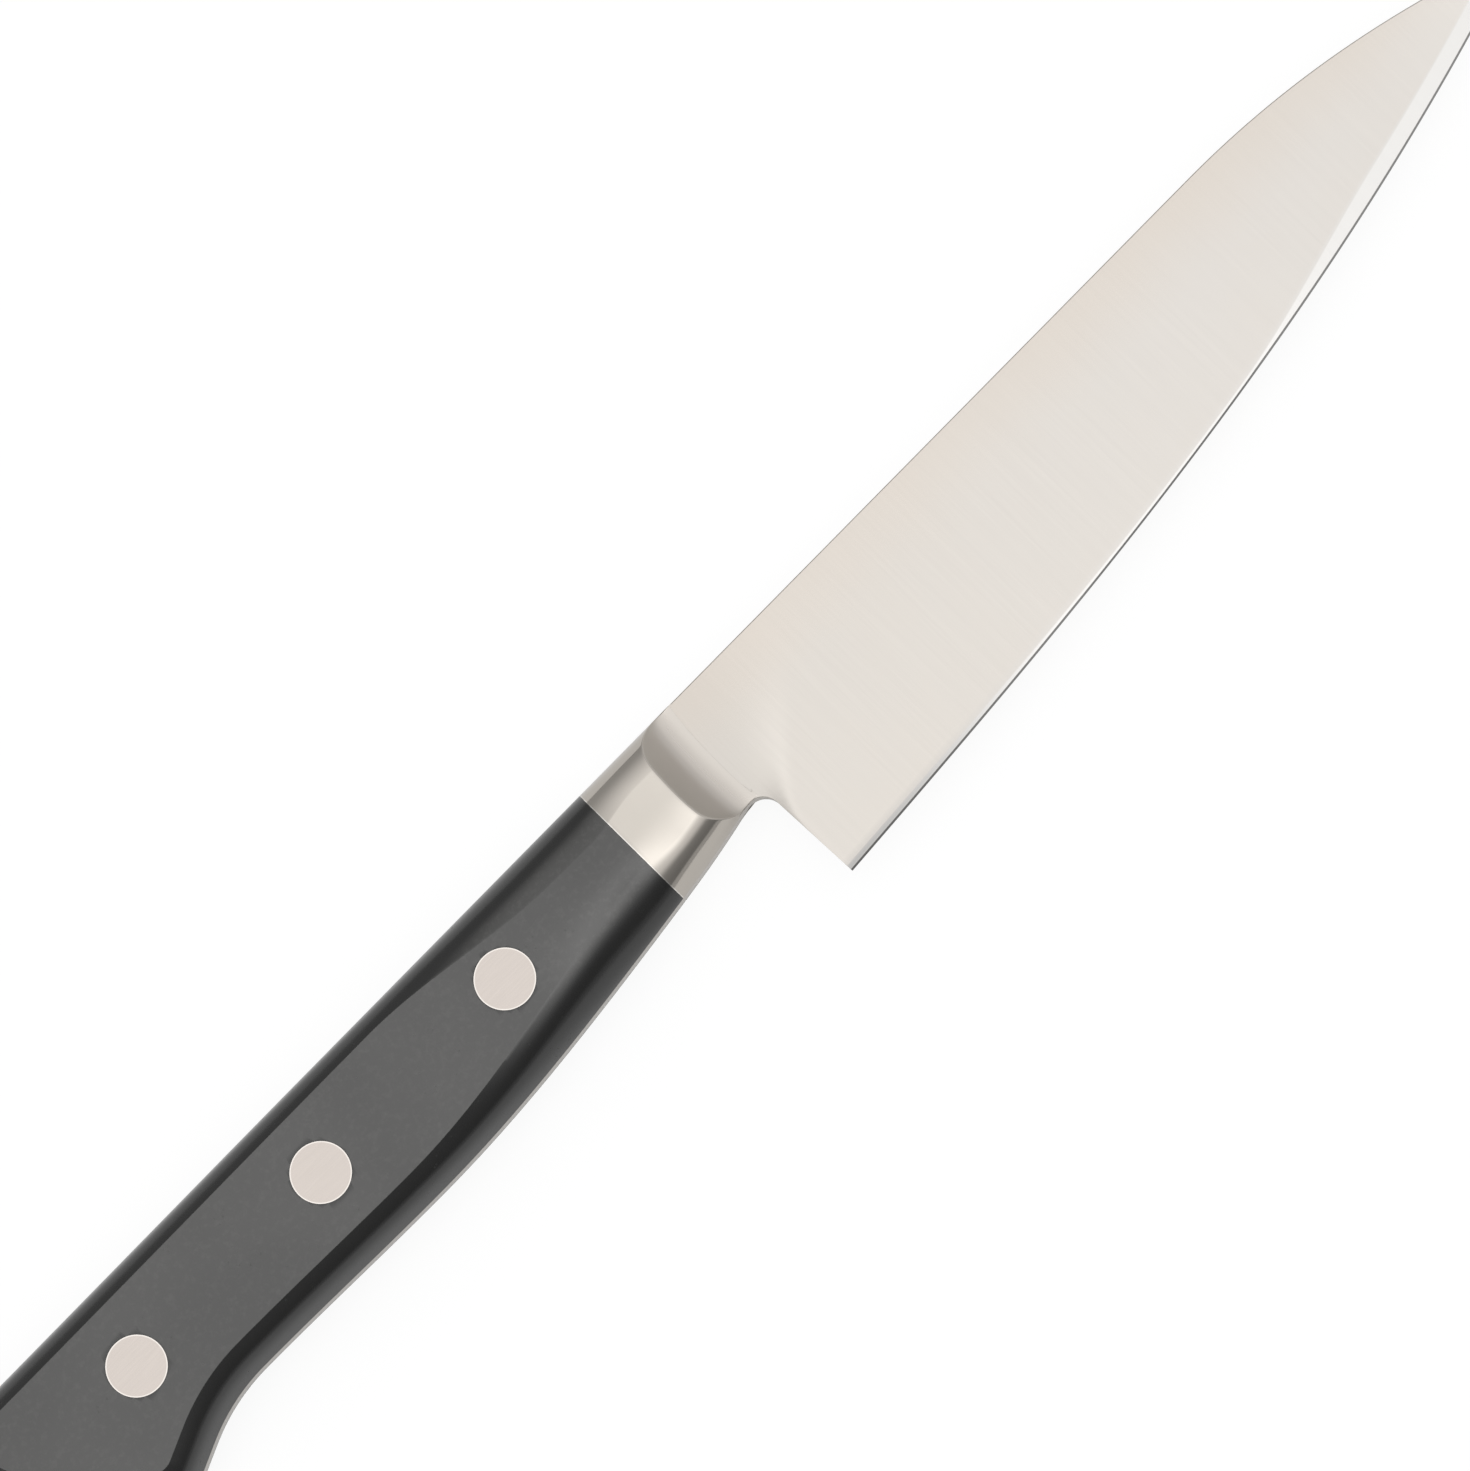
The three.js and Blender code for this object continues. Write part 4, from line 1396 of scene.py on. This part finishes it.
    def lower_line(self) -> Array:
        """Lower side of the steel: tang, choil arc, heel and cutting edge.

        Returns:
            Points from the butt to the tip, as rows of x and y.
        """
        choil = (self.outline.choil_x, -self.outline.choil_depth - self.choil_radius)
        foot = (choil[0] + self.choil_radius, choil[1])
        edge_share = np.linspace(0.0, 1.0, self.edge_steps)
        edge_x = self.heel + self.length * (1.0 - (1.0 - edge_share) ** self.edge_crowding)
        heel_drop = np.linspace(0.0, 1.0, self.heel_steps)[:, None]
        tang = chain(self.outline.stations()[1], self.outline.under()[-self.outline.curve_steps:])
        return chain(
            tang,
            arc(choil, self.choil_radius, math.pi / 2, 0.0, self.choil_steps),
            mix(np.array(foot), np.array((self.heel, -self.heel_depth)), heel_drop),
            np.column_stack((edge_x, self.edge(edge_x))),
        )

    def rows(self, low: Array, x: Array, top: Array) -> Array:
        """Heights of the rows on one face, from the spine to the lower side.

        Rows crowd at the spine's broken corner, at the bevel's upper border and at the hone.

        Args:
            low: Height of the lower side at each station.
            x: Places of the stations.
            top: Height of the upper side.

        Returns:
            Heights, stations by rows.
        """
        room = top - low
        corner = np.minimum(self.corner_break, self.corner_room * room)
        hone = np.minimum(self.hone_height, self.hone_room * self.bevel(x))
        lowest, highest = low + self.crease_lift * corner, top - self.crease_room * room
        crease = np.clip(self.edge(x) + self.bevel(x), lowest, highest)
        hone_y = np.clip(self.edge(x) + hone, low + self.hone_lift * corner, crease)
        upper = top[:, None] - corner[:, None] * np.array(self.corner_rows)
        first, last = self.face_support
        shares = np.concatenate(([first], np.linspace(0.0, 1.0, self.face_rows)[1:-1], [last, 1.0]))
        face = mix(upper[:, -1:], crease[:, None], shares)
        bevel = mix(crease[:, None], hone_y[:, None], np.array(self.bevel_rows))
        edge = mix(hone_y[:, None], low[:, None], np.array(self.hone_rows))
        return np.concatenate((upper, face, bevel, edge), axis=1)

    def build(self, holes: Sequence[bpy.types.Object]) -> bpy.types.Object:
        """Carries the section from butt to tip and cuts the tang's holes.

        Args:
            holes: Solids to cut away, which are used up.

        Returns:
            The blade.
        """
        lower = self.lower_line()
        x, low = lower[:, 0], lower[:, 1]
        back = self.outline.stations()[0]
        rear = len(back)
        top = self.top(x)
        top_x = x.copy()
        top_x[:rear], top[:rear] = back[:, 0], back[:, 1]
        y = self.rows(low, x, top)
        drop = (top[:, None] - y) / np.maximum(top - low, SAME_PLACE)[:, None]
        row_x = mix(top_x[:, None], x[:, None], drop)
        half = self.half(row_x, y)
        floor = np.where(x < self.heel, low, -np.inf)[:, None]
        fall = np.maximum(np.minimum(top[:, None] - y, y - floor), 0.0)
        broken = np.clip(1.0 - fall / self.corner_break, 0.0, 1.0)
        half = half - np.minimum(self.corner_break, self.corner_share * half) * broken ** 2
        right = np.stack((row_x, y, half), axis=-1)
        left = right * np.array((1.0, 1.0, -1.0))
        loop = np.concatenate((right, left[:, ::-1]), axis=1)
        shoulder_y = (self.edge(x) + self.bevel(x))[:, None]
        polished = smooth(-self.polish_above, self.polish_below, shoulder_y - y) * (x >= self.heel)[:, None]
        shell = Surface(self.knife)
        shell.add(loop, closed=True, shade=np.concatenate((polished, polished[:, ::-1]), axis=1))
        piece = shell.piece("blade_dressed", self.sharp_angle)
        cut(piece, holes, self.sharp_angle)
        return piece

    def dress(self, holes: Sequence[bpy.types.Object]) -> None:
        """Builds the blade and gives it its finish."""
        attach(self.build(holes), "blade", self.finish)


@dataclass
class Rivet:
    """One two-part rivet: a post from the right-hand side in a socket from the left."""

    knife: KnifeFrame
    name: str
    finish: bpy.types.Material
    head_height: float = 1.6
    post_radius: float = 1.4
    socket_radius: float = 2.2
    socket_floor: float = 1.2
    clearance: float = 0.006
    end_gap: float = 0.3
    rim_break: float = 0.015
    # Band inside the head's rim where the highlight is painted.
    rim_highlight_width: float = 0.18
    rim_highlight_full: float = 0.09
    sides: int = 96
    sharp_angle: float = 30.0
    place: Array = field(init=False)
    head_radius: float = field(init=False)

    def __post_init__(self) -> None:
        """Reads the rivet's place and head from the solids."""
        low, high = box_mm(f"rivet_{self.name}_post")
        self.place = (low[:2] + high[:2]) / 2 - np.array((self.knife.joint, self.knife.spine))
        self.head_radius = (high[0] - low[0]) / 2

    def turned(self, name: str, profile: Sequence[tuple[float, float]]) -> bpy.types.Object:
        """Closed turned piece, with a band inside the head's rim marked for a painted highlight.

        Args:
            name: Name of the new object.
            profile: Pairs of radius and height.

        Returns:
            The object.
        """
        points = np.array(profile)
        # Painted highlight inside the head's rim.
        rim = smooth(self.head_radius - self.rim_highlight_width, self.head_radius - self.rim_highlight_full, points[:, :1])
        shell = Surface(self.knife)
        grid = lathe(self.place, points, self.sides)
        shell.add(grid, closed=True, shade=np.repeat(rim, self.sides, axis=1))
        return shell.piece(name, self.sharp_angle)

    def hole(self, radius: float, low: float, high: float) -> bpy.types.Object:
        """Solid for a round hole about the rivet's axis, with the clearance added to its radius."""
        reach = radius + self.clearance
        return self.turned("hole", ((0.0, low), (reach, low), (reach, high), (0.0, high)))

    def scale_holes(self, side: Side) -> list[bpy.types.Object]:
        """Counterbore and through hole for one scale.

        Args:
            side: Scale's side.

        Returns:
            Two solids.
        """
        outer = self.knife.half_handle
        reaches = ((self.head_radius, outer - self.head_height, 2 * outer), (self.socket_radius, 0.0, outer))
        holes = []
        for radius, near, far in reaches:
            low, high = sorted((near * side.value, far * side.value))
            holes.append(self.hole(radius, low, high))
        return holes

    def tang_hole(self) -> bpy.types.Object:
        """Solid for the hole in the tang."""
        return self.hole(self.socket_radius, -2 * self.knife.half_steel, 2 * self.knife.half_steel)

    def head(self, face: float, seat: float) -> list[tuple[float, float]]:
        """Head's profile from its seat to the centre of its face, with the rim broken.

        Args:
            face: Height of the outer face.
            seat: Height of the seat in the scale.

        Returns:
            Pairs of radius and height.
        """
        inner = face - math.copysign(self.rim_break, face)
        reach = self.head_radius - self.rim_break
        # The two inner points on the face bound the band of the painted highlight.
        return [(self.head_radius, seat), (self.head_radius, inner), (reach, face),
                (self.head_radius - self.rim_highlight_full, face), (self.head_radius - self.rim_highlight_width, face),
                (0.0, face)]

    def dress(self) -> None:
        """Builds both halves and gives them their finish."""
        outer = self.knife.half_handle
        seat = outer - self.head_height
        end = self.socket_floor + self.end_gap - outer
        post = [(0.0, end), (self.post_radius, end), (self.post_radius, seat), *self.head(outer, seat)]
        bore = self.post_radius + self.clearance
        mouth = seat - self.end_gap
        floor = self.socket_floor - outer
        socket = [(0.0, floor), (bore, floor), (bore, mouth), (self.socket_radius, mouth),
                  (self.socket_radius, -seat), *self.head(-outer, -seat)]
        for half, profile in (("post", post), ("socket", socket)):
            node = f"rivet_{self.name}_{half}"
            attach(self.turned(f"{node}_dressed", profile), node, self.finish)


@dataclass(frozen=True)
class Sky:
    """Soft light over the knife: a bright patch overhead that fades into a dim room.

    The level is the room's, which rises towards butt and tip, plus two powers of the cosine from
    the patch's middle, a wide one and a narrow core. It is shaded towards the front, where a low
    pale wall stands.
    """

    room_level: float = 0.42
    side_level: float = 0.28
    wide_level: float = 0.70
    wide_power: float = 3.0
    core_level: float = 0.80
    core_power: float = 32.0
    patch_lean: float = math.radians(-3.0)
    shade: float = 0.52
    shade_start: float = 0.54
    shade_end: float = 0.78
    wall_level: float = 0.47
    wall_height: float = 0.20
    wall_soft: float = 0.01

    def hang(self) -> None:
        """Gives the world its light."""
        world = bpy.data.worlds.new("sky")
        bpy.context.scene.world = world
        world.use_nodes = True
        board = Board(world.node_tree)
        direction = board.node("ShaderNodeTexCoord", None, None, "Generated")
        middle = (0.0, math.sin(self.patch_lean), math.cos(self.patch_lean))
        settings = {"operation": "DOT_PRODUCT"}
        facing = board.node("ShaderNodeVectorMath", settings, {0: direction, 1: middle}, "Value")
        facing = board.math("MAXIMUM", facing, 0.0)
        patch = facing ** self.wide_power * self.wide_level + facing ** self.core_power * self.core_level
        forward = -1.0 * board.node("ShaderNodeSeparateXYZ", None, {"Vector": direction}, "Y")
        height = board.node("ShaderNodeSeparateXYZ", None, {"Vector": direction}, "Z")
        shade = board.step(forward, self.shade_start, self.shade_end) * self.shade
        along = board.node("ShaderNodeSeparateXYZ", None, {"Vector": direction}, "X")
        room = self.room_level + board.math("MULTIPLY", along, along) * self.side_level
        level = (room + patch) * (1.0 - shade)
        low = 1.0 - board.step(height, self.wall_height - self.wall_soft, self.wall_height + self.wall_soft)
        wall = low * board.step(forward, self.shade_start, self.shade_end)
        level = level + wall * (self.wall_level - level)
        light = board.node("ShaderNodeBackground", None, {"Color": WHITE, "Strength": level})
        board.node("ShaderNodeOutputWorld", None, {"Surface": light})


@dataclass(frozen=True)
class Studio:
    """Pale floor, soft sky and the camera."""

    knife: KnifeFrame
    sky: Sky = Sky()
    floor_reach: float = 6.0
    floor_colour: Colour = (0.90, 0.90, 0.90)
    floor_glow: float = 1.07
    glow_share: float = 0.84
    mirror_share: float = 0.30
    glow_inner: float = 0.35
    glow_outer: float = 1.3
    aim: tuple[float, float] = (16.3, -7.3)
    frame_width: float = 157.6
    tilt: float = math.radians(11.4)
    roll: float = math.radians(45.45)
    distance: float = 2000.0
    sensor: float = 36.0

    def floor(self) -> None:
        """Adds the floor, which glows near the knife for camera rays and less for mirror and glass rays."""
        corner = self.floor_reach
        signs = ((-1, -1), (1, -1), (1, 1), (-1, 1))
        points = [(x * corner, y * corner, 0.0) for x, y in signs]
        mesh = bpy.data.meshes.new("floor")
        mesh.from_pydata(points, [], [(0, 1, 2, 3)])
        floor = bpy.data.objects.new("floor", mesh)
        bpy.context.scene.collection.objects.link(floor)
        material, board = new_board("pale_floor")
        seen = board.node("ShaderNodeLightPath", None, None, "Is Camera Ray")
        mirrored = board.node("ShaderNodeLightPath", None, None, "Is Glossy Ray")
        mirrored = mirrored + board.node("ShaderNodeLightPath", None, None, "Is Transmission Ray")
        rays = board.clamped(seen + mirrored * self.mirror_share)
        reach = (board.axis("X") ** 2.0 + board.axis("Y") ** 2.0) ** 0.5
        near = 1.0 - board.step(reach, self.glow_inner, self.glow_outer)
        matt = board.node("ShaderNodeBsdfDiffuse", None, {"Color": (*self.floor_colour, 1.0)})
        glow = board.node("ShaderNodeEmission", None, {"Color": WHITE, "Strength": self.floor_glow})
        share = rays * near * self.glow_share
        board.finish(board.node("ShaderNodeMixShader", None, {0: share, 1: matt, 2: glow}))
        mesh.materials.append(material)

    def camera(self) -> None:
        """Adds the camera: tilted towards the edge's side, rolled so the knife lies corner to corner."""
        back = Vector((0.0, -math.sin(self.tilt), math.cos(self.tilt)))
        across = Vector((1.0, 0.0, 0.0))
        upward = back.cross(across)
        right = across * math.cos(self.roll) - upward * math.sin(self.roll)
        up = across * math.sin(self.roll) + upward * math.cos(self.roll)
        target = Vector(self.knife.placed(np.array((*self.aim, 0.0))))
        data = bpy.data.cameras.new("camera")
        data.sensor_fit = "HORIZONTAL"
        data.sensor_width = self.sensor
        data.lens = self.sensor * self.distance / self.frame_width
        camera = bpy.data.objects.new("camera", data)
        turn = Matrix((right, up, back)).transposed().to_4x4()
        camera.matrix_world = Matrix.Translation(target + back * self.distance * MM) @ turn
        bpy.context.scene.collection.objects.link(camera)
        bpy.context.scene.camera = camera

    def set_up(self) -> None:
        """Adds floor, sky and camera."""
        bpy.context.scene.view_settings.view_transform = "Standard"
        self.floor()
        self.sky.hang()
        self.camera()


def main() -> None:
    """Builds the knife piece by piece, then the studio."""
    logging.basicConfig(level=logging.INFO, format="%(name)s: %(message)s")
    knife = KnifeFrame.from_solids()
    outline = HandleOutline(knife)
    section = HandleSection(knife)
    rivet_steel = RivetSteel().material()
    rivets = [Rivet(knife, name, rivet_steel) for name in ("front", "middle", "rear")]
    heel_x = (knife.joint + knife.tip - Blade.length) * MM
    ground_steel = GroundSteel(spine_y=knife.spine * MM, heel_x=heel_x).material()
    Blade(knife, outline, ground_steel).dress([rivet.tang_hole() for rivet in rivets])
    buffed_steel = BuffedSteel().material()
    black_scale = BlackScale().material()
    for side in Side:
        Bolster(knife, outline, section, side, buffed_steel).dress()
        holes = [hole for rivet in rivets for hole in rivet.scale_holes(side)]
        Scale(knife, outline, section, side, black_scale).dress(holes)
    for rivet in rivets:
        rivet.dress()
    Studio(knife).set_up()


if __name__ == "__main__":
    main()
